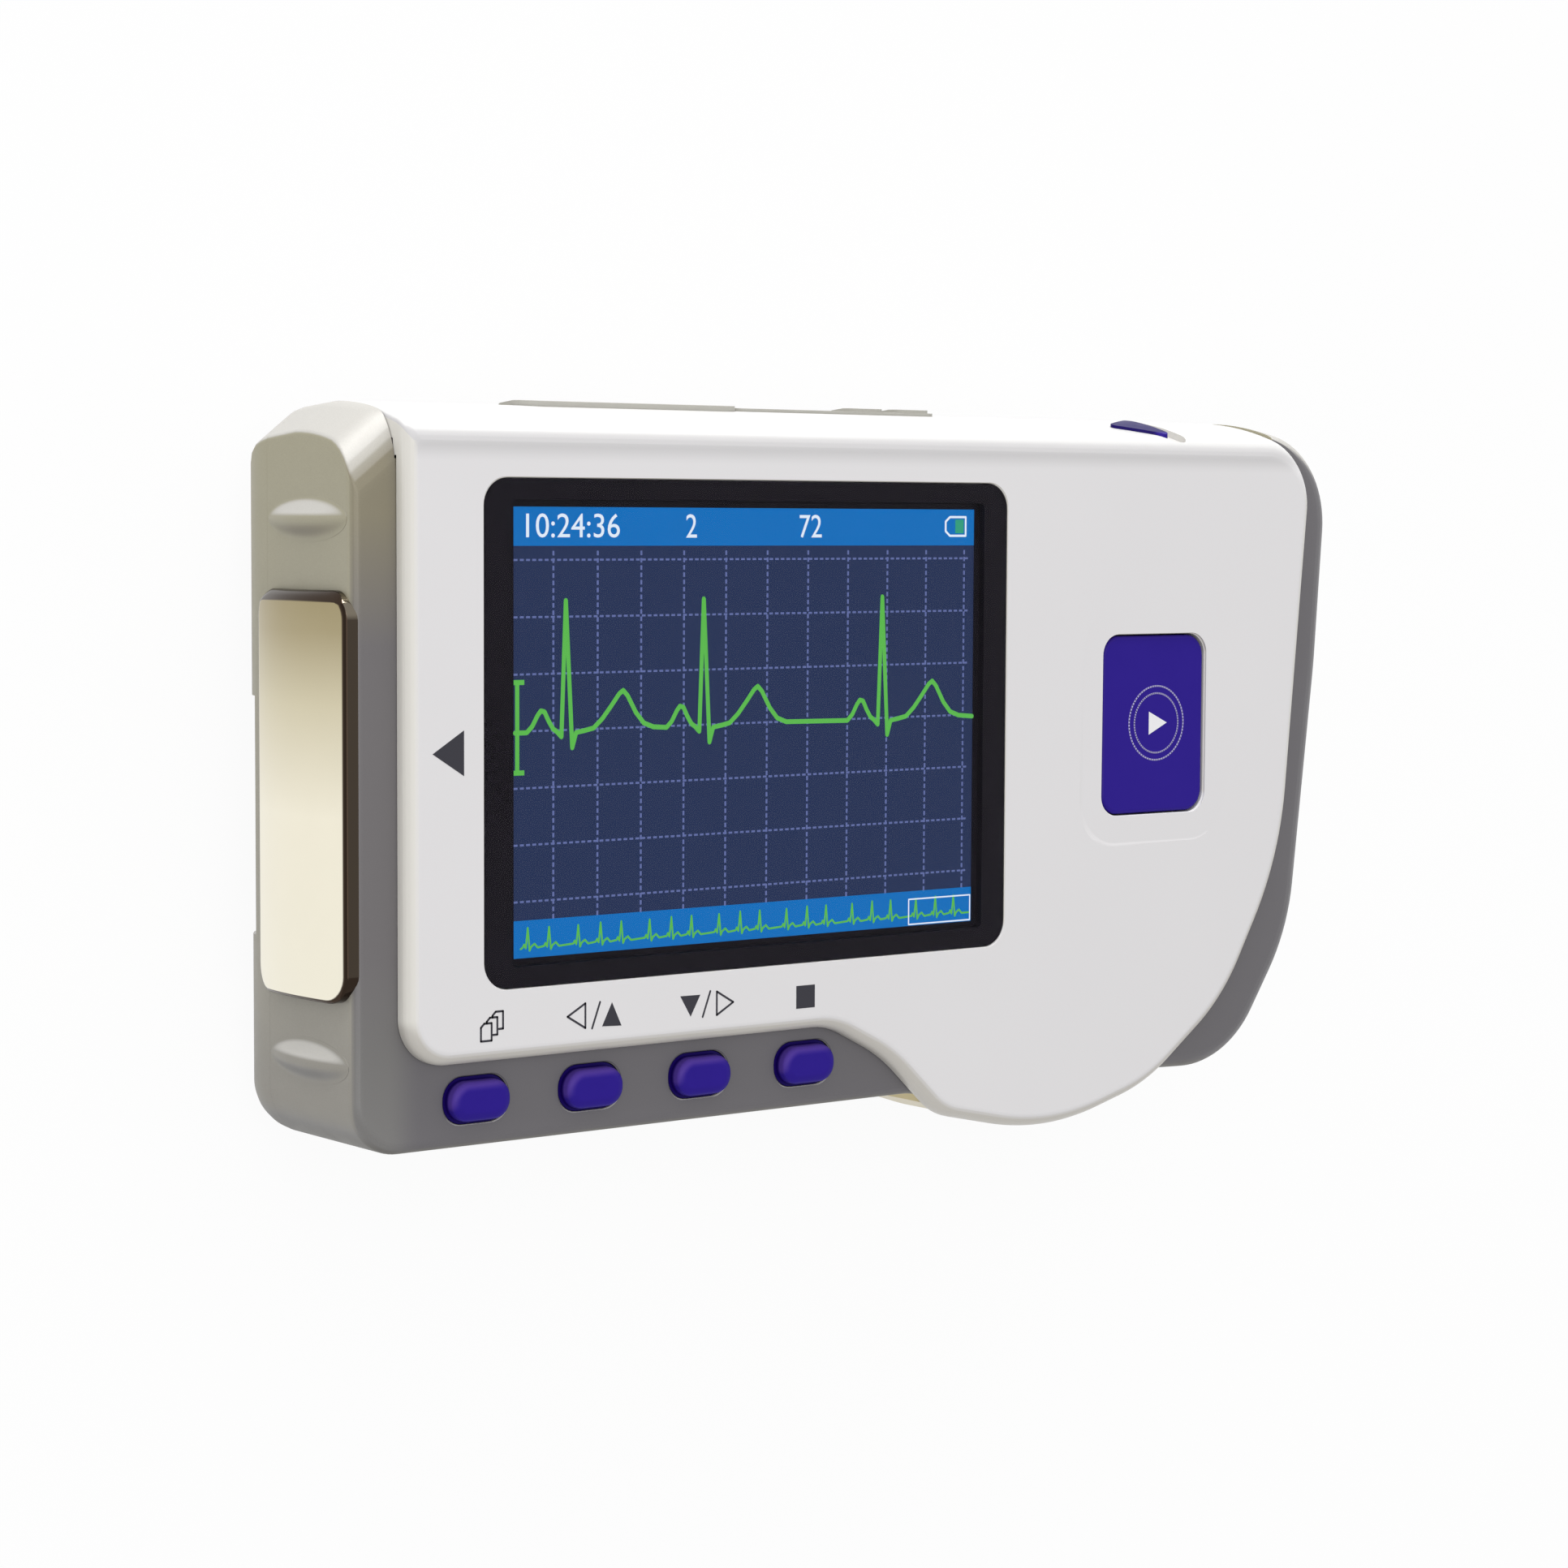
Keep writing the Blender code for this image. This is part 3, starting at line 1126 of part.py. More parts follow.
def make_pieces():
    """All pieces as triples of an object, its finish and, for a moving one, its origin."""
    pieces = [
        (make_front_cover(), "white_plastic", None),
        (make_main_housing(), "grey_plastic", None),
        (make_rear_cover(), "grey_plastic", None),
        (make_battery_door(), "grey_plastic", (BAY_X + BAY_HALF_LENGTH, BAY_Y, 0)),
        (make_screen_window(), "dark_window", None),
        (make_display_panel(), "screen_blue", None),
        (make_display_frame(), "black_plastic", None),
        (make_display_ribbon(), "ribbon_amber", None),
        (make_main_board(), "board_green", None),
        (make_record_key(), "violet_key", (RECORD_X, RECORD_Y, record_base())),
        (make_switch("record_switch", (RECORD_X, RECORD_Y), RECORD_SWITCH_SIDE, record_base(),
                     RECORD_TRAVEL), "black_plastic", None),
        (make_power_knob(), "violet_key", (KNOB_X, slider_body_top() + SEAM, stem_height())),
        (make_slide_switch(), "steel", None),
        (make_end_electrode(), "polished_metal", None),
        (make_finger_electrode(), "gold_metal", None),
        (make_data_socket(), "steel", None),
        (make_socket_cap(), "soft_grey", hinge_place()),
        (make_cap_strap(), "soft_grey", None),
        (make_sounder(), "black_plastic", None),
    ]
    for index, name in enumerate(KEY_NAMES):
        x, y = key_place(index)
        pieces.append((make_oval_key(index), "violet_key", (x, y, key_base())))
        pieces.append((make_switch(name + "_switch", (x, y), SWITCH_SIDE, key_base(), KEY_TRAVEL),
                       "black_plastic", None))
    near, far = cell_rows()
    pieces.append((make_cell("battery_1", near, 1), "cell_jacket", None))
    pieces.append((make_cell("battery_2", far, -1), "cell_jacket", None))
    for metal in make_contacts() + make_springs() + make_lead_springs():
        pieces.append((metal, "steel", None))
    for index, (x, y) in enumerate(boss_places()):
        pieces.append((make_screw("case_screw_" + str(index + 1), x, y), "steel", None))
    return pieces


def hinge_place():
    """Point on the upright axis where the cap bends from its strap."""
    return CAP_LEFT_X + CAP_LENGTH + SEAM / 2, TOP_REACH + CAP_PROUD, CAP_HEIGHT


def finish_material(name):
    colour, roughness, metallic = FINISHES[name]
    material = bpy.data.materials.new(name)
    material.use_nodes = True
    shader = material.node_tree.nodes["Principled BSDF"]
    shader.inputs["Base Color"].default_value = (*colour, 1)
    shader.inputs["Roughness"].default_value = roughness
    shader.inputs["Metallic"].default_value = metallic
    return material


def middle_of(values):
    return (min(values) + max(values)) / 2


def main():
    for leftover in list(bpy.data.objects):
        bpy.data.objects.remove(leftover)
    pieces = make_pieces()
    materials = {name: finish_material(name) for name in FINISHES}
    places = [vertex.co for piece, _, _ in pieces for vertex in piece.data.vertices]
    centre = Vector((middle_of([p.x for p in places]), middle_of([p.y for p in places]), 0))
    for piece, finish, origin in pieces:
        pivot = Vector(origin) if origin else centre
        shift(piece, -pivot)
        piece.location = pivot - centre
        piece.data.name = piece.name
        piece.data.materials.clear()
        piece.data.materials.append(materials[finish])
        piece.data.shade_smooth()
        piece.data.set_sharp_from_angle(angle=SMOOTH_ANGLE)


main()
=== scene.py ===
"""Looks of a hand-held heart recorder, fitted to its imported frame."""
import json
import math

import bmesh
import bpy
from mathutils import Matrix, Vector


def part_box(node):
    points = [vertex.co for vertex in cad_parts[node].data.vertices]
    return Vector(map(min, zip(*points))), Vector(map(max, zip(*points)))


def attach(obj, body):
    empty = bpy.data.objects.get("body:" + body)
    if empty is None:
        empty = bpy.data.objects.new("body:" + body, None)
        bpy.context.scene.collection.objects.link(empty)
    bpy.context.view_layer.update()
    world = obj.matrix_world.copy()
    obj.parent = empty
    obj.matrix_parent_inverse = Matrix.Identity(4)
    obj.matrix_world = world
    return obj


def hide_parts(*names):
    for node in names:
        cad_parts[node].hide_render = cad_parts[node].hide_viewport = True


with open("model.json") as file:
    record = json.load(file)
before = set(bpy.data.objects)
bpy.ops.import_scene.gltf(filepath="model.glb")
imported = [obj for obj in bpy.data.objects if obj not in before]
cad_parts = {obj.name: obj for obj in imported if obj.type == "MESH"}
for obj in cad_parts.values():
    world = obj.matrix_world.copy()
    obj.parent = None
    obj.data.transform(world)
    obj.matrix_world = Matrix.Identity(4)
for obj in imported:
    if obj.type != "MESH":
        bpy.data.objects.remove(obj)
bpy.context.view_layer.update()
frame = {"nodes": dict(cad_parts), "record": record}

NODES = frame["nodes"]

# Counts of facets, finer than those of the frame
FINE = 3
ROUND_STEPS = 48
CORNER_STEPS = 10
CROWN_STEPS = 7
RIM_STEPS = 3
SMOOTH_ANGLE = math.radians(34)

# Signs of the four corners of a rectangle, anticlockwise
QUARTERS = ((-1, -1), (1, -1), (1, 1), (-1, 1))

# Visible gaps, rounded rims and the thickness of a print
THIN = 0.00008
RIM = 0.00015
TUCK = 0.00004
PRINT = 0.000014
OVERRUN = 0.0010
SEAM = 0.0003

# Sizes of the case, as in the part
BODY_DEPTH = 0.0250
FRONT = BODY_DEPTH - PRINT
GREY_TOP = 0.0230
DECK_UNDER = 0.0210
COVER_UNDER = 0.0220
WALL = 0.0013
REAR_WALL = 0.0018
REAR_SPLIT = 0.0080
LEDGE = 0.0026
SKIRT_HEIGHT = 0.0130
SKIRT_REACH = 0.0703
SKIRT_WALL = 0.0020
SKIRT_BAND = 0.0050
CROWN_HEIGHT = 0.0130
WINDOW_SIZE = (0.0622, 0.0463)
WINDOW_CORNER = 0.0025
WINDOW_THICK = 0.0012
SCREEN_SIZE = (0.0549, 0.0412)
FACE_LEFT = 0.0392
FACE_LOW = 0.0298
END_REACH = 0.0437
TOP_REACH = 0.0301
KEY_SIDE_REACH = 0.0378
NECK_X = 0.0165
BODY_NECK = 0.0219
LOBE_X = 0.0383
LOBE_REACH = 0.0432
FACE_LOBE = 0.0431
COVE_X = 0.0500
COVE_REACH = 0.0382
HEEL_X = 0.0669
PALM_X = 0.0759
GRIP_X = 0.0812
REAR_ROUND = 0.0068
ARCH_RADIUS = 0.0330
TOP_ROUND = 0.0018
END_ROUND = 0.0010
KEY_SIDE_ROUND = 0.0012
LOBE_ROUND = 0.0020
GRIP_ROUND = 0.0036
SHOULDER_ROUND = 0.0040
FACE_ROUND = 0.0014
LEAST_CORNER = 0.0006
RECORD_PLACE = (0.0517, -0.0015)
RECORD_SIZE = (0.0142, 0.0184)
RECORD_CORNER = 0.0022
RECORD_BEND = 0.0004
RECORD_DISH = 0.0064
KEY_HOLE = (0.00710, 0.00445)
KEY_PLACES = [(-0.03085 + 0.01263 * index, -0.03335) for index in range(4)]
KEY_CORNER = 0.0021
KEY_RIM = 0.00030
KEY_SHOULDER = (0.00095, 0.00055)
KEY_NAMES = ("menu", "left_up", "right_down", "stop")
CAP_LEFT = -0.0202
CAP_LENGTH = 0.0250
CAP_MIDDLE = CAP_LEFT + CAP_LENGTH / 2
CAP_HEIGHT = 0.01255
CAP_WIDTH = 0.0066
CAP_CORNER = 0.0020
CAP_SINK = 0.0005
PLUG_SIZE = (0.0080, 0.0030)
STRAP_WIDTH = 0.0052
STRAP_CORNER = 0.0012
KNOB_X = 0.05085
KNOB_HEIGHT = 0.0206
KNOB_SIZE = (0.0059, 0.0072)
KNOB_TRAVEL = 0.0020
KNOB_OFF = 0.0008
KNOB_PROUD = 0.0003
KNOB_SINK = 0.0006
STEM_OFF = 0.0009
STEM_SIZE = (0.0010, 0.0016)
STEM_HEIGHT = 0.0200
PAD_BASE = 0.0074
PAD_CREST = 0.0229
PAD_LOW = -0.0238
PAD_HIGH = 0.0131
PAD_PROUD = 0.0018
PAD_BEND = 0.0006
PAD_CROWN = 0.0011
PAD_TOP_BEND = 0.0012
PAD_TOP_DROP = 0.0007
RIB_PLACES = (PAD_LOW - 0.0058, PAD_HIGH + 0.0063)
RIB_HALF = 0.0021
RIB_RISE = 0.0010
RIB_STEPS = 24
FINGER_SPAN = (0.0238, 0.0338)
FINGER_HEIGHTS = (0.0095, 0.0215)
FINGER_CORNER = 0.0020
BAY_X = -0.01005
BAY_Y = -0.0080
BAY_HALF = (0.02535, 0.0111)
BAY_WALL = 0.0012
BAY_ROOF = 0.0128
DOOR_SINK = 0.0003
DOOR_INSIDE = 0.0014
DOOR_RISE = 0.0050
GROOVES = 5
GROOVE_PITCH = 0.0016
GROOVE_HALF = (0.0005, 0.00025)
GROOVE_DEPTH = 0.0004
GROOVE_REACH = 0.0052
ARROW_SIZE = (0.0040, 0.0026)

# The face is measured from the middle of the window
WINDOW_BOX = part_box("screen_window")
MIDDLE = (WINDOW_BOX[0] + WINDOW_BOX[1]) / 2
OFFSET = Vector((MIDDLE.x, MIDDLE.y, 0))


def body_corners():
    """Corners of the whole case, anticlockwise: place, rounding and facets."""
    return [
        (-END_REACH, -KEY_SIDE_REACH, 0.0050, 6 * FINE),
        (BODY_NECK, -KEY_SIDE_REACH, 0.0100, 3 * FINE),
        (LOBE_X, -LOBE_REACH, 0.0240, 5 * FINE),
        (COVE_X, -COVE_REACH, 0.0120, 2 * FINE),
        (HEEL_X, -COVE_REACH - 0.0006, 0.0120, 5 * FINE),
        (PALM_X, -COVE_REACH + 0.0131, 0.0228, 3 * FINE),
        (GRIP_X - 0.0019, -COVE_REACH + 0.0422, 0.0700, 2 * FINE),
        (GRIP_X, TOP_REACH, 0.0107, 7 * FINE),
        (-END_REACH + 0.0036, TOP_REACH, 0.0030, 2 * FINE),
        (-END_REACH, TOP_REACH - 0.0028, 0.0008, 2 * FINE),
    ]


def face_corners():
    """Corners of the white face at the foot of its rim, anticlockwise."""
    return [
        (-FACE_LEFT, -FACE_LOW, 0.0045, 6 * FINE),
        (NECK_X - 0.0070, -FACE_LOW, 0.0090, 4 * FINE),
        (NECK_X, -FACE_LOW - 0.0036, 0.0180, 3 * FINE),
        (NECK_X + 0.0068, 0.0032 - FACE_LOBE, 0.0070, 4 * FINE),
        (LOBE_X - 0.0005, -FACE_LOBE, 0.0300, 5 * FINE),
        (LOBE_X + 0.0135, 0.0038 - FACE_LOBE, 0.0200, 4 * FINE),
        (HEEL_X - 0.0041, 0.0119 - FACE_LOBE, 0.0220, 4 * FINE),
        (PALM_X - 0.00475, 0.0266 - FACE_LOBE, 0.0350, 4 * FINE),
        (GRIP_X - 0.0058, TOP_REACH, 0.0065, 7 * FINE),
        (-FACE_LEFT, TOP_REACH, LEAST_CORNER, 2 * FINE),
    ]


def inset_outline(corners, insets):
    """Rounded outline whose sides are each moved inward by their own inset."""
    sides = []
    for index, corner in enumerate(corners):
        here = Vector(corner[:2])
        there = Vector(corners[(index + 1) % len(corners)][:2])
        along = (there - here).normalized()
        sides.append((here + Vector((-along.y, along.x)) * insets[index], along))
    points = []
    for index, corner in enumerate(corners):
        (first, into), (second, out) = sides[index - 1], sides[index]
        cross = into.x * out.y - into.y * out.x
        span = second - first
        tip = first + into * ((span.x * out.y - span.y * out.x) / cross)
        turn = math.atan2(cross, into.dot(out))
        drawn = min(insets[index - 1], insets[index])
        radius = max(corner[2] - math.copysign(drawn, turn), LEAST_CORNER)
        start = tip - into * (radius * math.tan(abs(turn) / 2))
        centre = start + Vector((-into.y, into.x)) * math.copysign(radius, turn)
        for step in range(corner[3] + 1):
            points.append(centre + Matrix.Rotation(turn * step / corner[3], 2) @ (start - centre))
    return points


def set_back(height, edge, radius):
    """How far a rounded edge has drawn in at a height; edge is where its flat face lies."""
    depth = min(radius - abs(edge - height), radius)
    if depth <= 0:
        return 0
    return radius - math.sqrt(radius ** 2 - depth ** 2)


def top_draw(height, inward):
    """Inset of the arched top side, whose surface is offset inward."""
    bow = ARCH_RADIUS - inward
    arch = bow - math.sqrt(bow ** 2 - (height - CROWN_HEIGHT) ** 2)
    rear = set_back(height, inward, REAR_ROUND - inward)
    front = set_back(height, FRONT - inward, TOP_ROUND - min(inward, TOP_ROUND))
    return inward + arch + rear + front


def body_insets(height, inward):
    """Insets of the sides of the case, in the order of its corners."""
    rear = set_back(height, inward, REAR_ROUND - inward)

    def side(rounding):
        return inward + TUCK + rear + set_back(height, GREY_TOP - inward, max(rounding - inward, 0))

    top = top_draw(height, inward)
    shoulder = top + side(SHOULDER_ROUND) - inward - 0.75 * rear
    return [side(KEY_SIDE_ROUND), side(KEY_SIDE_ROUND), side(LOBE_ROUND), side(LOBE_ROUND),
            side(GRIP_ROUND), side(GRIP_ROUND), side(GRIP_ROUND), top, shoulder, side(END_ROUND)]


def face_insets(height, inward, top_inward):
    """Insets of the sides of the white face, in the order of its corners."""
    side = inward + set_back(height, FRONT, FACE_ROUND)
    return [side] * 8 + [top_draw(height, top_inward), side]


def heights_between(low, high, stops):
    return [low] + sorted(stop for stop in set(stops) if low < stop < high) + [high]


def rounding_stops(edge, radius, steps):
    """Heights at even angles round an edge whose face lies at edge."""
    quarter = math.pi / 2
    return [edge - radius * (1 - math.sin(quarter * step / steps)) for step in range(steps)]


def body_stops():
    rear = [REAR_ROUND * (1 - math.cos(math.pi / 2 * step / 9)) for step in range(1, 10)]
    arch = [CROWN_HEIGHT + 0.0011 * step for step in range(6)]
    return (rear + arch + rounding_stops(GREY_TOP, GRIP_ROUND, 8)
            + rounding_stops(GREY_TOP, KEY_SIDE_ROUND, 4))


def face_stops():
    spread = GREY_TOP - SKIRT_HEIGHT
    arch = [SKIRT_HEIGHT + spread * step / 8 for step in range(1, 8)]
    return arch + rounding_stops(FRONT, TOP_ROUND, 8) + rounding_stops(FRONT, FACE_ROUND, 6)


def new_object(name, data):
    """New object in the scene."""
    thing = bpy.data.objects.new(name, data)
    bpy.context.scene.collection.objects.link(thing)
    return thing


def mesh_object(name, vertices, faces):
    mesh = bpy.data.meshes.new(name)
    mesh.from_pydata([tuple(vertex) for vertex in vertices], [], faces)
    shape = bmesh.new()
    shape.from_mesh(mesh)
    bmesh.ops.recalc_face_normals(shape, faces=shape.faces)
    shape.to_mesh(mesh)
    shape.free()
    return new_object(name, mesh)


def loft_faces(base, count, levels):
    """Faces of a closed loft whose first point is number base."""
    faces = [[base + index for index in reversed(range(count))]]
    for level in range(levels - 1):
        low = base + level * count
        for index in range(count):
            after = (index + 1) % count
            faces.append([low + index, low + after, low + count + after, low + count + index])
    faces.append([base + (levels - 1) * count + index for index in range(count)])
    return faces


def lofts(name, solids):
    """One object of several closed lofts, each a list of rings."""
    vertices, faces = [], []
    for rings in solids:
        faces += loft_faces(len(vertices), len(rings[0]), len(rings))
        vertices += [point for ring in rings for point in ring]
    return mesh_object(name, vertices, faces)


def loft(name, rings):
    """Closed solid through rings of equal length, each a list of points."""
    return lofts(name, [rings])


def outline_loft(name, corners, levels):
    """Loft of one rounded outline: levels are pairs of a height and its insets."""
    rings = []
    for height, insets in levels:
        rings.append([Vector((p.x, p.y, height)) for p in inset_outline(corners, insets)])
    return loft(name, rings)


def body_loft(name, low, high, inward):
    heights = heights_between(low, high, body_stops())
    return outline_loft(name, body_corners(), [(h, body_insets(h, inward)) for h in heights])


def skin_block(name, inward):
    """The case offset inward above its rear edge, for pieces set into its top and lower sides."""
    heights = heights_between(REAR_ROUND, BODY_DEPTH - inward, body_stops() + face_stops())
    levels = []
    for height in heights:
        top = top_draw(height, inward)
        levels.append((height, [inward] * 7 + [top, top, inward]))
    return outline_loft(name, body_corners(), levels)


def face_solid(name, low, high, inward, top_inward):
    heights = heights_between(low, high, face_stops())
    return outline_loft(name, face_corners(), [(h, face_insets(h, inward, top_inward)) for h in heights])


def ledge_solid(name, low, high, inward):
    """Inset form of the white face with a plain upper left corner, for the step round the deck."""
    corners = face_corners()[:-1] + [(-FACE_LEFT, TOP_REACH, 0.0045, CORNER_STEPS)]
    heights = heights_between(low, high, face_stops())
    return outline_loft(name, corners, [(h, face_insets(h, inward, inward)) for h in heights])


def rectangle(width, height, radius, steps=CORNER_STEPS):
    """Corners of a rounded rectangle about its centre."""
    x, y = width / 2, height / 2
    return [(i * x, j * y, radius, steps) for i, j in QUARTERS]


def panel(x_low, y_low, x_high, y_high):
    """Corners of a rectangle between two opposite corners."""
    return [(x_low, y_low), (x_high, y_low), (x_high, y_high), (x_low, y_high)]


def block(name, low, high):
    """Box between two opposite corners."""
    base = panel(low[0], low[1], high[0], high[1])
    return loft(name, [[Vector((x, y, z)) for x, y in base] for z in (low[2], high[2])])


def rounded_block(name, centre, size, radius, levels):
    """Rounded rectangle lofted along Z: levels are pairs of a height and an inset."""
    piece = outline_loft(name, rectangle(size[0], size[1], radius),
                         [(height, [inset] * 4) for height, inset in levels])
    return shift(piece, (centre[0], centre[1], 0))


def turned(name, centre, profile, steps=ROUND_STEPS):
    """Solid turned about an upright axis: profile is pairs of a radius and a height."""
    angles = [math.tau * step / steps for step in range(steps)]
    rings = []
    for radius, height in profile:
        rings.append([Vector((centre[0] + radius * math.cos(angle),
                              centre[1] + radius * math.sin(angle), height)) for angle in angles])
    return loft(name, rings)


def grown(size, extra):
    return tuple(side + extra for side in size)


def shift(piece, offset):
    piece.data.transform(Matrix.Translation(Vector(offset)))
    return piece


def turn_mesh(piece, angle, axis):
    piece.data.transform(Matrix.Rotation(angle, 4, axis))
    return piece


def combine(target, tool, operation):
    """Exact Boolean of two solids; the tool is used up."""
    change = target.modifiers.new("combine", 'BOOLEAN')
    change.operation = operation
    change.object = tool
    change.solver = 'EXACT'
    bpy.context.view_layer.update()
    depsgraph = bpy.context.evaluated_depsgraph_get()
    result = bpy.data.meshes.new_from_object(target.evaluated_get(depsgraph))
    target.modifiers.clear()
    target.data = result
    bpy.data.objects.remove(tool)
    return target


def cut(target, tool):
    return combine(target, tool, 'DIFFERENCE')


def add(target, tool):
    return combine(target, tool, 'UNION')


def keep(target, tool):
    return combine(target, tool, 'INTERSECT')


def run_along_y(name, corners, x, height, low, high):
    """Outline of four corners in X and Z, run along Y from low to high."""
    piece = outline_loft(name, corners, [(low, [0] * 4), (high, [0] * 4)])
    turn_mesh(piece, math.pi / 2, 'X')
    return shift(piece, (x, low + high, height))


def top_prism(name, x, height, length, width, radius):
    """Prism that runs out through the top side."""
    return run_along_y(name, rectangle(length, width, radius), x, height,
                       TOP_REACH - SKIRT_BAND, TOP_REACH + SKIRT_BAND)


def skin_piece(name, prism, proud, sink):
    """Part of a prism that lies between two offsets of the case's surface."""
    prism.name = name
    keep(prism, skin_block("skin", -proud))
    return cut(prism, skin_block("core", sink))


def skin_pocket(target, prism, sink):
    """Cuts a shallow pocket with a floor that follows the case's surface."""
    return cut(target, cut(prism, skin_block("core", sink)))


def knob_prism(name, x, length, width, travel=0):
    """Prism of the slider's outline, a wedge that points to the left, or of what it sweeps."""
    left, right = KNOB_OFF - length / 2, KNOB_OFF + length / 2
    far, edge = right + travel, LEAST_CORNER / 2
    wedge = [(left, 0, LEAST_CORNER, 4), (far, -width / 2, edge, 4), (far, width / 2, edge, 4)]
    if travel:
        wedge.insert(1, (right, -width / 2, edge, 4))
        wedge.append((right, width / 2, edge, 4))
    still = [0] * len(wedge)
    piece = outline_loft(name, wedge, [(TOP_REACH - SKIRT_BAND, still), (TOP_REACH + SKIRT_BAND, still)])
    turn_mesh(piece, math.pi / 2, 'X')
    return shift(piece, (x, 2 * TOP_REACH, KNOB_HEIGHT))


def crown_levels(top, across, rise, steps=CROWN_STEPS, inset=0):
    """Rings of a rounded upper edge, so far across and so high."""
    levels = []
    for step in range(steps + 1):
        angle = math.pi / 2 * step / steps
        levels.append((top - rise * (1 - math.sin(angle)), inset + across * (1 - math.cos(angle))))
    return levels


def flared(low, top, radius):
    """Rings of a cutter that leaves a rounded rim round its mouth."""
    levels = [(low, 0)]
    for step in range(RIM_STEPS + 1):
        angle = math.pi / 2 * step / RIM_STEPS
        levels.append((top - radius * math.cos(angle), -radius * math.sin(angle) ** 2))
    levels.append((top + OVERRUN, -radius))
    return levels


def cut_top_fittings(shell):
    """Pockets and a hole for the cap, its strap and the plug."""
    fit = 2 * THIN
    for x, width, corner in ((CAP_MIDDLE, CAP_WIDTH, CAP_CORNER),
                             (CAP_MIDDLE + CAP_LENGTH + SEAM, STRAP_WIDTH, STRAP_CORNER)):
        skin_pocket(shell, top_prism("pocket", x, CAP_HEIGHT, CAP_LENGTH + fit, width + fit, corner),
                    CAP_SINK + THIN)
    return cut(shell, top_prism("plug_hole", CAP_MIDDLE, CAP_HEIGHT, *grown(PLUG_SIZE, fit),
                                STRAP_CORNER))


def finish_mesh(piece, material):
    """Smooth shading with sharp edges and one material."""
    piece.data.materials.clear()
    piece.data.materials.append(material)
    piece.data.shade_smooth()
    piece.data.set_sharp_from_angle(angle=SMOOTH_ANGLE)
    weigh = piece.modifiers.new("weigh", 'WEIGHTED_NORMAL')
    weigh.keep_sharp = True


def dress(piece, body, slot, material, *nodes):
    """Moves a piece onto the frame, gives it its finish, hangs it on its body and hides the nodes it
    stands for; slot is not used.
    """
    piece.data.transform(Matrix.Translation(OFFSET))
    finish_mesh(piece, material)
    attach(piece, body)
    if nodes:
        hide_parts(*nodes)
    return piece


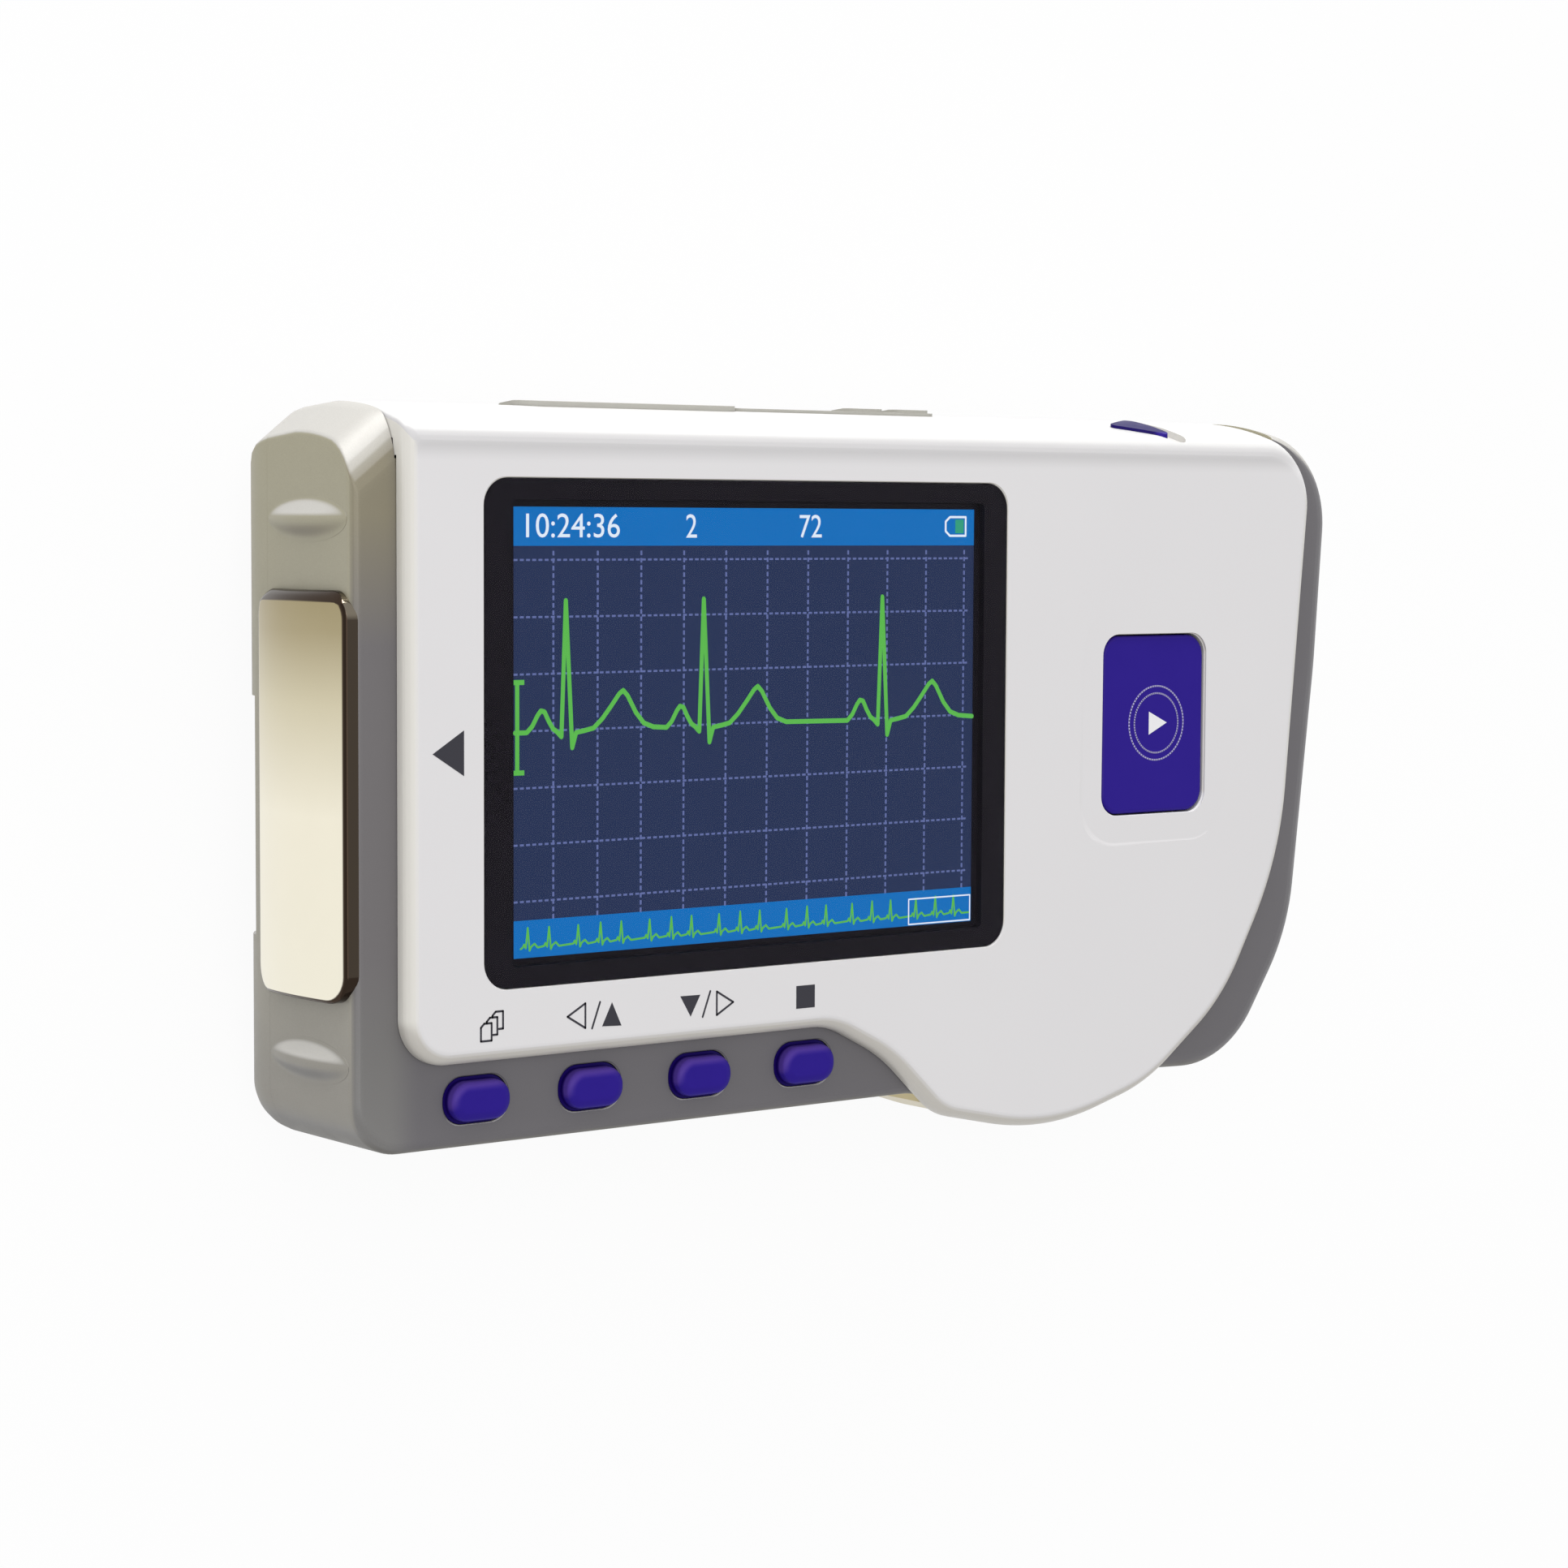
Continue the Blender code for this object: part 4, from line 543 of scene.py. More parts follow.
# Materials
class Finish:
    """A material in the making, with its nodes and its shader."""

    def __init__(self, name):
        self.material = bpy.data.materials.new(name)
        self.material.use_nodes = True
        self.tree = self.material.node_tree
        self.shader = self.tree.nodes["Principled BSDF"]

    def node(self, kind):
        return self.tree.nodes.new("ShaderNode" + kind)

    def put(self, value, socket):
        """Gives a number, a colour or an output to a socket, or to the shader's socket of that name."""
        if isinstance(socket, str):
            socket = self.shader.inputs[socket]
        if isinstance(value, bpy.types.NodeSocket):
            self.tree.links.new(value, socket)
        else:
            socket.default_value = (*value, 1) if socket.type == 'RGBA' else value

    def noise(self, scale, detail=2.0):
        """Noise in the object's own metres, as a value from 0 to 1."""
        texture = self.node("TexNoise")
        self.put(scale, texture.inputs["Scale"])
        self.put(detail, texture.inputs["Detail"])
        self.put(0.5, texture.inputs["Roughness"])
        self.put(self.node("TexCoord").outputs["Object"], texture.inputs["Vector"])
        return texture.outputs["Fac"]

    def between(self, value, low, high, start=0.0, end=1.0, smooth=False):
        """Value that goes from low to high while another goes from start to end."""
        change = self.node("MapRange")
        if smooth:
            change.interpolation_type = 'SMOOTHSTEP'
        for name, limit in (("From Min", start), ("From Max", end), ("To Min", low), ("To Max", high)):
            self.put(limit, change.inputs[name])
        self.put(value, change.inputs["Value"])
        return change.outputs["Result"]

    def rise(self, value, start, end):
        """Smooth rise from 0 to 1."""
        return self.between(value, 0.0, 1.0, start, end, smooth=True)

    def calculate(self, operation, first, second):
        """Result of a calculation on two values."""
        result = self.node("Math")
        result.operation = operation
        self.put(first, result.inputs[0])
        self.put(second, result.inputs[1])
        return result.outputs[0]

    def blend(self, factor, first, second):
        """Mix of two colours, each a tuple or an output."""
        mix = self.node("Mix")
        mix.data_type = 'RGBA'
        sockets = [socket for socket in mix.inputs if socket.type == 'RGBA']
        for socket, colour in zip(sockets, (first, second)):
            self.put(colour, socket)
        self.put(factor, mix.inputs[0])
        return [socket for socket in mix.outputs if socket.type == 'RGBA'][0]

    def toned(self, scale, detail, colour, share):
        """Colour that wanders by a share of itself."""
        low, high = [tuple(value * factor for value in colour) for factor in (1 - share, 1 + share)]
        return self.blend(self.noise(scale, detail), low, high)

    def facing(self, *direction):
        """How far a surface faces along a direction of the case, from -1 to 1."""
        towards = self.node("VectorMath")
        towards.operation = 'DOT_PRODUCT'
        self.put(Vector(direction).normalized(), towards.inputs[1])
        self.put(self.node("NewGeometry").outputs["Normal"], towards.inputs[0])
        return towards.outputs["Value"]

    def place(self, axis):
        """Place along an axis of the object, in metres."""
        split = self.node("SeparateXYZ")
        self.put(self.node("TexCoord").outputs["Object"], split.inputs["Vector"])
        return split.outputs[axis]

    def ramp(self, value, stops):
        """Colour that changes with a value: stops are pairs of a value from 0 to 1 and a colour."""
        node = self.node("ValToRGB")
        elements = node.color_ramp.elements
        while len(elements) < len(stops):
            elements.new(0.5)
        for element, (position, colour) in zip(elements, stops):
            element.position = position
            element.color = (*colour, 1)
        self.put(value, node.inputs["Fac"])
        return node.outputs["Color"]

    def gloss(self, scale, low, high, detail=2.0):
        """Roughness that wanders between two values."""
        self.put(self.between(self.noise(scale, detail), low, high), "Roughness")

    def grain(self, scale, depth):
        """Fine moulded grain through a bump."""
        bump = self.node("Bump")
        self.put(1.0, bump.inputs["Strength"])
        self.put(depth, bump.inputs["Distance"])
        self.put(self.noise(scale, 3.0), bump.inputs["Height"])
        self.put(bump.outputs["Normal"], "Normal")


def moulded(name, colour, roughness, scale=9000, depth=0.000004, spread=0.04, tone=0.03, shine=0.5):
    """Moulded plastic: slight changes of tone and gloss over a fine grain."""
    paint = Finish(name)
    paint.put(paint.toned(70, 3.0, colour, tone), "Base Color")
    paint.gloss(400, roughness - spread, roughness + spread)
    paint.put(shine, "Specular IOR Level")
    paint.grain(scale, depth)
    return paint.material


def case_paint():
    """Grey paint that turns champagne on the end face and pale on top as a painted highlight, with
    painted shade and reflection, and fine flakes.
    """
    paint = Finish("champagne_grey")
    mottle = paint.noise(90, 3.0)
    front = paint.blend(mottle, (0.150, 0.143, 0.153), (0.164, 0.157, 0.167))
    height = paint.between(paint.place("Y"), 0.0, 1.0, OFFSET.y - LOBE_REACH, OFFSET.y + TOP_REACH)
    # Painted reflection and shade: the rounding beside the end face changes colour with height, lighter
    # low down, greyest at mid-height and olive at the top
    painted_reflection_shade = paint.ramp(height, [(0.08, (0.215, 0.210, 0.205)), (0.20, (0.190, 0.185, 0.180)),
                                 (0.32, (0.172, 0.162, 0.166)), (0.70, (0.172, 0.162, 0.166)),
                                 (0.86, (0.262, 0.235, 0.165)), (1.0, (0.262, 0.235, 0.165))])
    beside = paint.between(paint.place("X"), 1.0, 0.0, OFFSET.x - 0.0405, OFFSET.x - 0.0365, smooth=True)
    front = paint.blend(beside, front, painted_reflection_shade)
    # Painted shade: surfaces that face down turn dark brown
    front = paint.blend(paint.rise(paint.facing(0, -1, 0), 0.45, 0.95), front, (0.100, 0.092, 0.078))
    end = paint.ramp(height, [(0.16, (0.270, 0.256, 0.228)), (0.28, (0.325, 0.308, 0.262)),
                              (0.70, (0.342, 0.322, 0.245)), (1.0, (0.352, 0.326, 0.222))])
    end = paint.blend(paint.between(mottle, 0.0, 0.12), end, (0.42, 0.40, 0.33))
    base = paint.blend(paint.rise(paint.facing(-1, 0, 0), 0.78, 0.98), front, end)
    # Painted highlight: surfaces that face up turn pale
    base = paint.blend(paint.rise(paint.facing(0, 1, 0), 0.22, 0.52), base, (0.57, 0.555, 0.520))
    flaked = paint.node("VectorMath")
    flaked.operation = 'SCALE'
    paint.put(base, flaked.inputs[0])
    paint.put(paint.between(paint.noise(16000, 1.0), 0.95, 1.05, 0.35, 0.65), flaked.inputs["Scale"])
    paint.put(flaked.outputs["Vector"], "Base Color")
    paint.gloss(500, 0.38, 0.48)
    paint.put(0.15, "Metallic")
    paint.grain(9000, 0.000004)
    return paint.material


def white_shell():
    """White shell plastic with painted shade: warmer and darker on its side walls, and a darker band
    under its upper edge.
    """
    paint = Finish("white_shell")
    face = paint.blend(paint.noise(45, 3.0), (0.752, 0.738, 0.747), (0.775, 0.762, 0.770))
    edge = OFFSET.y + TOP_REACH
    # Painted shade: a darker band on the face just under its upper edge
    face = paint.blend(paint.rise(paint.place("Y"), edge - 0.0056, edge - 0.0036), face,
                       (0.600, 0.590, 0.595))
    face = paint.blend(paint.rise(paint.facing(0, 1, 0), 0.35, 0.75), face, (0.760, 0.755, 0.745))
    # Painted shade: the side walls turn warm cream, and darker tan where they face down
    wall = paint.blend(paint.rise(paint.facing(0, -1, 0), 0.0, 0.25), (0.730, 0.710, 0.660),
                       (0.595, 0.570, 0.525))
    level = paint.rise(paint.facing(0, 0, 1), 0.88, 0.998)
    upward = paint.rise(paint.facing(0, 1, 0), 0.0, 0.15)
    paint.put(paint.blend(paint.calculate('MAXIMUM', level, upward), wall, face), "Base Color")
    paint.gloss(350, 0.30, 0.38)
    paint.grain(7000, 0.000003)
    return paint.material


def violet_plastic(name, painted_sheen_level):
    """Violet key plastic: a painted highlight makes it paler where it faces up and to the left, and
    painted shade makes it deep violet low down its sides.
    """
    paint = Finish(name)
    body = paint.blend(paint.noise(300, 3.0), (0.0225, 0.0085, 0.244), (0.0265, 0.0105, 0.264))
    # Painted highlight: paler violet where the surface faces up and to the left, by the given strength
    painted_sheen = paint.between(paint.facing(-0.5, 0.85, 0), 0.0, painted_sheen_level, 0.02, 0.45, smooth=True)
    body = paint.blend(painted_sheen, body, (0.080, 0.040, 0.32))
    # Painted shade: below a little over the grey deck's top the colour turns deep violet, for the gap
    # round a key
    painted_gap_shade = paint.between(paint.place("Z"), 1.0, 0.0, GREY_TOP + 0.00005, GREY_TOP + 0.00045, smooth=True)
    paint.put(paint.blend(painted_gap_shade, body, (0.0085, 0.0012, 0.105)), "Base Color")
    paint.gloss(900, 0.36, 0.48)
    paint.put(0.10, "Specular IOR Level")
    paint.grain(9000, 0.000003)
    return paint.material


def end_metal():
    """Polished champagne plate with painted reflections: deeper at its top, dark along its bent edges.
    """
    paint = Finish("polished_champagne")
    height = paint.between(paint.place("Y"), 0.0, 1.0, OFFSET.y + PAD_LOW, OFFSET.y + PAD_HIGH)
    # Painted reflection: the flat of the plate is bright low down and darkens to olive brown at its top
    flat_painted_reflection = paint.ramp(height, [(0.0, (0.90, 0.86, 0.72)), (0.45, (0.90, 0.85, 0.70)),
                               (0.72, (0.66, 0.60, 0.43)), (0.90, (0.40, 0.34, 0.20)),
                               (1.0, (0.34, 0.28, 0.15))])
    flat_painted_reflection = paint.blend(paint.between(paint.noise(250, 4.0), 0.0, 0.10), flat_painted_reflection, (0.62, 0.57, 0.44))
    outward = paint.rise(paint.facing(0, 0.55, 0.85), 0.80, 0.95)
    # Painted reflection: the bent edges turn dark, a little lighter where they face up and out
    edge_painted_reflection = paint.blend(outward, (0.050, 0.034, 0.024), (0.30, 0.26, 0.20))
    level = paint.rise(paint.facing(-1, 0, 0), 0.90, 0.95)
    paint.put(paint.blend(level, edge_painted_reflection, flat_painted_reflection), "Base Color")
    paint.put(1.0, "Metallic")
    paint.gloss(700, 0.07, 0.15, 3.0)
    paint.grain(2500, 0.0000006)
    return paint.material


def metal(name, colour, roughness, scale=1500, tone=0.08):
    """Plain metal with a slight change of tone and gloss."""
    paint = Finish(name)
    paint.put(paint.toned(scale / 6, 4.0, colour, tone), "Base Color")
    paint.put(1.0, "Metallic")
    paint.gloss(scale, roughness - 0.05, roughness + 0.07, 3.0)
    paint.grain(scale * 4, 0.000001)
    return paint.material


def lit(name, colour):
    """Lit picture element of the display, with a slight change of tone."""
    paint = Finish(name)
    paint.put((0.004, 0.004, 0.006), "Base Color")
    paint.put(0.6, "Roughness")
    paint.put(0.1, "Specular IOR Level")
    paint.put(paint.toned(160, 2.0, colour, 0.03), "Emission Color")
    paint.put(1.0, "Emission Strength")
    return paint.material


def clear_glass():
    """Clear glass whose index is far below a real one, which keeps its haze off the black border."""
    paint = Finish("window_glass")
    paint.put((0.98, 0.98, 1.0), "Base Color")
    paint.put(1.0, "Transmission Weight")
    paint.put(1.12, "IOR")
    paint.put(0.05, "Specular IOR Level")
    paint.gloss(300, 0.0, 0.02)
    return paint.material


WHITE = white_shell()
GREY = case_paint()
RECORD_VIOLET = violet_plastic("violet_record", 0.15)
KEY_VIOLET = violet_plastic("violet_keys", 1.0)
END_METAL = end_metal()
FINGER_METAL = metal("gold_contact", (0.52, 0.45, 0.27), 0.30)
STEEL = metal("plated_steel", (0.60, 0.60, 0.61), 0.28)
SOFT = moulded("soft_rubber", (0.44, 0.43, 0.39), 0.60, 5000, 0.000008)
MASK = moulded("black_border", (0.0085, 0.0065, 0.0110), 0.50, 400, 0.0000005, shine=0.10)
GLASS = clear_glass()
INK = moulded("dark_ink", (0.026, 0.025, 0.036), 0.55, 12000, 0.000001)
PALE_INK = moulded("pale_ink", (0.50, 0.46, 0.78), 0.50, 12000, 0.000001)
WHITE_INK = moulded("white_ink", (0.86, 0.86, 0.88), 0.50, 12000, 0.000001)
BLACK = moulded("black_moulding", (0.018, 0.018, 0.020), 0.50)
BOARD = moulded("solder_mask", (0.010, 0.110, 0.040), 0.42, 2500, 0.000006, 0.06, 0.20)
AMBER = moulded("amber_film", (0.42, 0.17, 0.035), 0.35, 3000, 0.000002, 0.05, 0.10)
JACKET = moulded("cell_wrap", (0.035, 0.045, 0.065), 0.32, 1200, 0.000004, 0.06, 0.15)
SCREEN_BED = lit("screen_bed", (0.0165, 0.0295, 0.0835))
SCREEN_BAR = lit("screen_bar", (0.0015, 0.1500, 0.4800))
SCREEN_GRID = lit("screen_grid", (0.120, 0.155, 0.360))
SCREEN_TRACE = lit("screen_trace", (0.105, 0.480, 0.072))
SCREEN_WHITE = lit("screen_white", (0.74, 0.83, 0.92))
SCREEN_CHARGE = lit("screen_charge", (0.030, 0.330, 0.190))


# Shells
def make_front_cover():
    """White face with the window's pocket, the record key's hole and a skirt over the top side."""
    cover = face_solid("white_cover", SKIRT_HEIGHT + THIN, FRONT, 0, 0)
    flange = GREY_TOP + THIN
    far = 2 * GRIP_X
    cut(cover, block("below_flange", (-far, -far, 0), (far, TOP_REACH - SKIRT_BAND, flange)))
    cut(cover, block("past_skirt", (SKIRT_REACH, 0, 0), (far, far, flange)))
    cut(cover, face_solid("hollow", SKIRT_HEIGHT - OVERRUN, (COVER_UNDER + GREY_TOP) / 2,
                          -OVERRUN, SKIRT_WALL))
    cut(cover, rounded_block("window_pocket", (0, 0), grown(WINDOW_SIZE, 2 * THIN), WINDOW_CORNER + THIN,
                             flared(BODY_DEPTH - WINDOW_THICK - THIN, FRONT, RIM / 2)))
    dish = rounded_block("dish", (0, 0), grown(RECORD_SIZE, RECORD_DISH), 0.0050,
                         [(0, 0.0003), (0.00004, 0.0001), (0.00012, -0.0002), (0.0004, -0.0009),
                          (OVERRUN, -0.0009)])
    dish.data.transform(Matrix.Rotation(-0.005, 4, 'Y') @ Matrix.Rotation(0.005, 4, 'X'))
    cut(cover, shift(dish, (*RECORD_PLACE, FRONT - 0.00002)))
    cut(cover, rounded_block("record_hole", RECORD_PLACE, grown(RECORD_SIZE, 4 * THIN),
                             RECORD_CORNER + THIN,
                             flared(COVER_UNDER - OVERRUN, FRONT - 0.0002, RIM / 2)))
    cut_top_fittings(cover)
    fit = 2 * THIN
    skin_pocket(cover, knob_prism("knob_pocket", KNOB_X, *grown(KNOB_SIZE, fit), KNOB_TRAVEL),
                KNOB_SINK + THIN)
    cut(cover, top_prism("stem_slit", KNOB_X + KNOB_TRAVEL / 2 + STEM_OFF, STEM_HEIGHT,
                         STEM_SIZE[0] + KNOB_TRAVEL + fit, STEM_SIZE[1] + fit, LEAST_CORNER))
    return dress(cover, "case", "white_plastic", WHITE, "front_cover")


def lobe_surface(x):
    """Height on the face of the straight slope under the neck."""
    share = (x - BODY_NECK) / (LOBE_X - BODY_NECK)
    return -KEY_SIDE_REACH + share * (KEY_SIDE_REACH - LOBE_REACH)


def finger_prism(name, grow):
    """Prism of the finger contact, larger by grow on each side."""
    start, end = FINGER_SPAN
    low, high = FINGER_HEIGHTS
    corners = rectangle(end - start + 2 * grow, high - low + 2 * grow, FINGER_CORNER + grow)
    return run_along_y(name, corners, (start + end) / 2, (low + high) / 2,
                       lobe_surface(LOBE_X) - SKIRT_BAND, lobe_surface(start) + SKIRT_BAND)


def grip_rib(name, y):
    """Pointed ridge on the end face, with a soft bell-shaped section."""
    low, high = REAR_SPLIT + 0.0002, GREY_TOP - END_ROUND
    rings = []
    for level in range(1, 2 * RIB_STEPS):
        share = -math.cos(math.pi * level / (2 * RIB_STEPS))
        reach = 1 - share ** 2
        ring = []
        for step in range(-RIB_STEPS, RIB_STEPS + 1):
            across = step / RIB_STEPS
            rise = RIB_RISE * reach * (1 + math.cos(math.pi * across)) / 2 - THIN / 4
            ring.append(Vector((-END_REACH - rise, y + RIB_HALF * math.sqrt(reach) * across,
                                (low + high) / 2 + share * (high - low) / 2)))
        inside = Vector((WALL / 2, 0, 0))
        rings.append(ring + [ring[-1] + inside, ring[0] + inside])
    return loft(name, rings)


def make_main_housing():
    """Grey middle of the case, with the key strip, the end face and the grip's edge."""
    housing = body_loft("grey_housing", REAR_SPLIT + THIN / 8, GREY_TOP, 0)
    cut(housing, body_loft("hollow", REAR_SPLIT - OVERRUN, DECK_UNDER, WALL))
    cut(housing, ledge_solid("opening", DECK_UNDER - OVERRUN, GREY_TOP + OVERRUN, LEDGE))
    far = 2 * GRIP_X
    cut(housing, block("skirt_gap", (-FACE_LEFT - THIN, TOP_REACH - SKIRT_BAND - SEAM, SKIRT_HEIGHT),
                       (SKIRT_REACH + THIN, far, far)))
    for x, y in KEY_PLACES:
        cut(housing, rounded_block("key_hole", (x, y), KEY_HOLE, KEY_CORNER,
                                   flared(DECK_UNDER - OVERRUN, GREY_TOP, THIN)))
    skin_pocket(housing, finger_prism("finger_pocket", THIN), 0.0005 + THIN)
    for y in RIB_PLACES:
        add(housing, grip_rib("grip_rib", y))
    cut_top_fittings(housing)
    return dress(housing, "case", "grey_plastic", GREY, "main_housing")


def door_block(name, gap, rise):
    """Region of the battery door, smaller by gap on its free edges."""
    return block(name, (-2 * END_REACH, BAY_Y - BAY_HALF[1] + gap, -OVERRUN),
                 (BAY_X + BAY_HALF[0] - gap, BAY_Y + BAY_HALF[1] - gap, rise))


def bay_block(name, wall, low, high):
    """Box round the battery bay between two heights, with a wall added on its sides."""
    x, y = grown(BAY_HALF, wall)
    return block(name, (BAY_X - x, BAY_Y - y, low), (BAY_X + x, BAY_Y + y, high))


def screw_places():
    """Middles of the case screws, on the face's own axes."""
    places = []
    for index in range(4):
        low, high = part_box("case_screw_" + str(index + 1))
        places.append(((low.x + high.x) / 2 - OFFSET.x, (low.y + high.y) / 2 - OFFSET.y))
    return places


def make_rear_cover():
    """Grey back with the ways of the screws and the tray of the battery bay."""
    cover = body_loft("grey_back", 0, REAR_SPLIT, 0)
    cut(cover, body_loft("hollow", REAR_WALL, REAR_SPLIT + OVERRUN, REAR_WALL))
    cut(cover, door_block("door_gap", 0, DOOR_RISE + THIN))
    tray = bay_block("tray", BAY_WALL, REAR_WALL / 2, BAY_ROOF + BAY_WALL)
    cut(tray, bay_block("cells", 0, -OVERRUN, BAY_ROOF))
    cut(tray, door_block("door_way", 0, DOOR_INSIDE + SEAM))
    add(cover, tray)
    for x, y in screw_places():
        boss = turned("boss", (x, y), [(0.0030, 0), (0.0030, REAR_SPLIT)])
        keep(boss, body_loft("inside", REAR_WALL / 2, REAR_SPLIT + OVERRUN, REAR_WALL / 2))
        add(cover, boss)
        cut(cover, turned("screw_way", (x, y), [(0.0021, -OVERRUN), (0.0021, 0), (0.0020, 0.0001),
                                                (0.0020, 0.0025), (0.0013, 0.0025),
                                                (0.0013, REAR_SPLIT + OVERRUN)]))
    return dress(cover, "case", "grey_plastic", GREY, "rear_cover")


def make_door():
    """Sliding door with finger grooves and a plain arrow that shows which way it opens."""
    door = door_block("sliding_door", THIN, DOOR_RISE)
    keep(door, body_loft("outside", DOOR_SINK, DOOR_RISE + OVERRUN, DOOR_SINK))
    cut(door, body_loft("inside", DOOR_INSIDE, DOOR_RISE + OVERRUN, DOOR_INSIDE))
    last = BAY_X + BAY_HALF[0] - 0.0055
    mouth, floor = GROOVE_HALF
    for index in range(GROOVES):
        x = last - index * GROOVE_PITCH
        rings = []
        for z, wide in ((-OVERRUN, mouth), (DOOR_SINK, mouth), (DOOR_SINK + GROOVE_DEPTH, floor)):
            rings.append([Vector((x + i * wide, BAY_Y + j * (GROOVE_REACH + wide), z))
                          for i, j in QUARTERS])
        cut(door, loft("groove", rings))
    tip = last - 0.0125
    arrow = [(tip, BAY_Y), (tip + ARROW_SIZE[0], BAY_Y - ARROW_SIZE[1]),
             (tip + ARROW_SIZE[0], BAY_Y + ARROW_SIZE[1])]
    cut(door, flat_piece("arrow", [arrow], -OVERRUN, DOOR_SINK + 0.0002))
    return dress(door, "door", "grey_plastic", GREY, "battery_door")


# Window and its picture, with heights below the face
GLASS_THICK = 0.00012
PICTURE = 0.0241
LAYER = 0.00001


def make_window():
    """Clear sheet over a black border that has an opening for the picture."""
    top = FRONT
    sheet = rounded_block("window_sheet", (0, 0), WINDOW_SIZE, WINDOW_CORNER,
                          [(top - GLASS_THICK, 0), (top - 0.00004, 0), (top - 0.00001, 0.00002),
                           (top, 0.00006)])
    dress(sheet, "case", "dark_window", GLASS, "screen_window")
    under = top - GLASS_THICK - LAYER
    border = rounded_block("window_border", (0, 0), WINDOW_SIZE, WINDOW_CORNER,
                           [(BODY_DEPTH - WINDOW_THICK, 0), (under, 0)])
    opening = (SCREEN_SIZE[0] + 0.0015, SCREEN_SIZE[1] + 0.0013)
    cut(border, rounded_block("opening", (0, 0), opening, 0.0004,
                              [(PICTURE - 3 * LAYER, 0), (under - 0.0001, 0),
                               (under + OVERRUN, -0.0001)]))
    dress(border, "case", "dark_window", MASK)


def flat_piece(name, outlines, low, high):
    """Thin closed plates between two heights, one for each outline."""
    return lofts(name, [[[Vector((x, y, z)) for x, y in outline] for z in (low, high)]
                        for outline in outlines])


def strokes(lines, width):
    """Outlines of straight strokes with round joints along lists of points."""
    outlines = []
    for line in lines:
        for (x1, y1), (x2, y2) in zip(line, line[1:]):
            length = math.hypot(x2 - x1, y2 - y1)
            if length == 0:
                continue
            ux, uy = (x2 - x1) / length * width / 2, (y2 - y1) / length * width / 2
            outline = []
            for cx, cy, start in ((x2, y2, -math.pi / 2), (x1, y1, math.pi / 2)):
                for step in range(5):
                    angle = start + math.pi * step / 4
                    outline.append((cx + ux * math.cos(angle) - uy * math.sin(angle),
                                    cy + uy * math.cos(angle) + ux * math.sin(angle)))
            outlines.append(outline)
    return outlines


def dashes(start, end, pitch, share, width):
    """Short bars along a straight line."""
    (x1, y1), (x2, y2) = start, end
    length = math.hypot(x2 - x1, y2 - y1)
    ux, uy = (x2 - x1) / length, (y2 - y1) / length
    bars = []
    for index in range(int(length / pitch)):
        first = index * pitch
        last = first + pitch * share
        bars.append([(x1 + ux * a - uy * b, y1 + uy * a + ux * b)
                     for a, b in panel(first, -width / 2, last, width / 2)])
    return bars


def figures(name, rows, low, high):
    """Plates of rows of digits: each row gives its text, its lower left corner and its size."""
    plates = bmesh.new()
    for text, x, y, width, height in rows:
        letters = bpy.data.curves.new("letters", 'FONT')
        letters.body = text
        letters.resolution_u = 4
        letters.extrude = 0.5
        carrier = new_object("letters", letters)
        bpy.context.view_layer.update()
        depsgraph = bpy.context.evaluated_depsgraph_get()
        mesh = bpy.data.meshes.new_from_object(carrier.evaluated_get(depsgraph))
        bpy.data.objects.remove(carrier)
        points = [vertex.co for vertex in mesh.vertices]
        least = Vector([min(point[axis] for point in points) for axis in range(3)])
        most = Vector([max(point[axis] for point in points) for axis in range(3)])
        size = Vector((width, height, high - low))
        scale = Matrix.Diagonal((*[size[axis] / (most - least)[axis] for axis in range(3)], 1))
        mesh.transform(Matrix.Translation((x, y, low)) @ scale @ Matrix.Translation(-least))
        plates.from_mesh(mesh)
    bmesh.ops.remove_doubles(plates, verts=plates.verts, dist=LAYER / 10)
    merged = bpy.data.meshes.new(name)
    plates.to_mesh(merged)
    plates.free()
    return new_object(name, merged)


# One beat and the places of the beats, in millimetres on the face
BEAT = [(-4.3, 0.0), (-3.7, 0.55), (-3.1, 1.55), (-2.75, 1.95), (-2.35, 1.85), (-1.9, 1.0), (-1.4, 0.25),
        (-1.0, 0.0), (-0.48, -0.5), (0.0, 12.0), (0.72, -1.55), (1.15, -0.15), (2.1, 0.0), (3.1, 0.2),
        (4.1, 1.05), (5.1, 2.2), (6.0, 3.3), (6.45, 3.6), (6.95, 3.1), (7.9, 1.5), (8.8, 0.5),
        (9.9, 0.1)]
PEAKS = (-21.73, -6.01, 15.72)
MM = 0.001


def in_metres(points):
    """Points given in millimetres."""
    return [(x * MM, y * MM) for x, y in points]


def heart_trace():
    """The large trace: three beats on a nearly level line."""
    points = [(-27.3, 0.05)]
    for peak in PEAKS:
        points += [(peak + x, y + 0.05) for x, y in BEAT if peak + x > points[-1][0] and peak + x < 27.4]
    return in_metres(points + [(27.4, 0.0)])


def small_trace():
    """The whole recording in small along the lower bar."""
    points = [(-26.7, -19.75)]
    for group in range(7):
        for index, offset in enumerate((0.0, 2.35, 5.60)):
            x = -25.92 + 8.12 * group + offset
            if x > 26.5:
                break
            points += [(x - 0.55, -19.62), (x - 0.4, -19.35), (x - 0.22, -19.7),
                       (x, -17.85 - 0.04 * index), (x + 0.2, -19.95), (x + 0.38, -19.6),
                       (x + 0.75, -19.35), (x + 1.1, -19.72)]
    return in_metres(points + [(27.2, -19.7)])


def show(piece, material):
    """Puts one layer of the picture in its place."""
    return dress(piece, "case", "screen_blue", material)


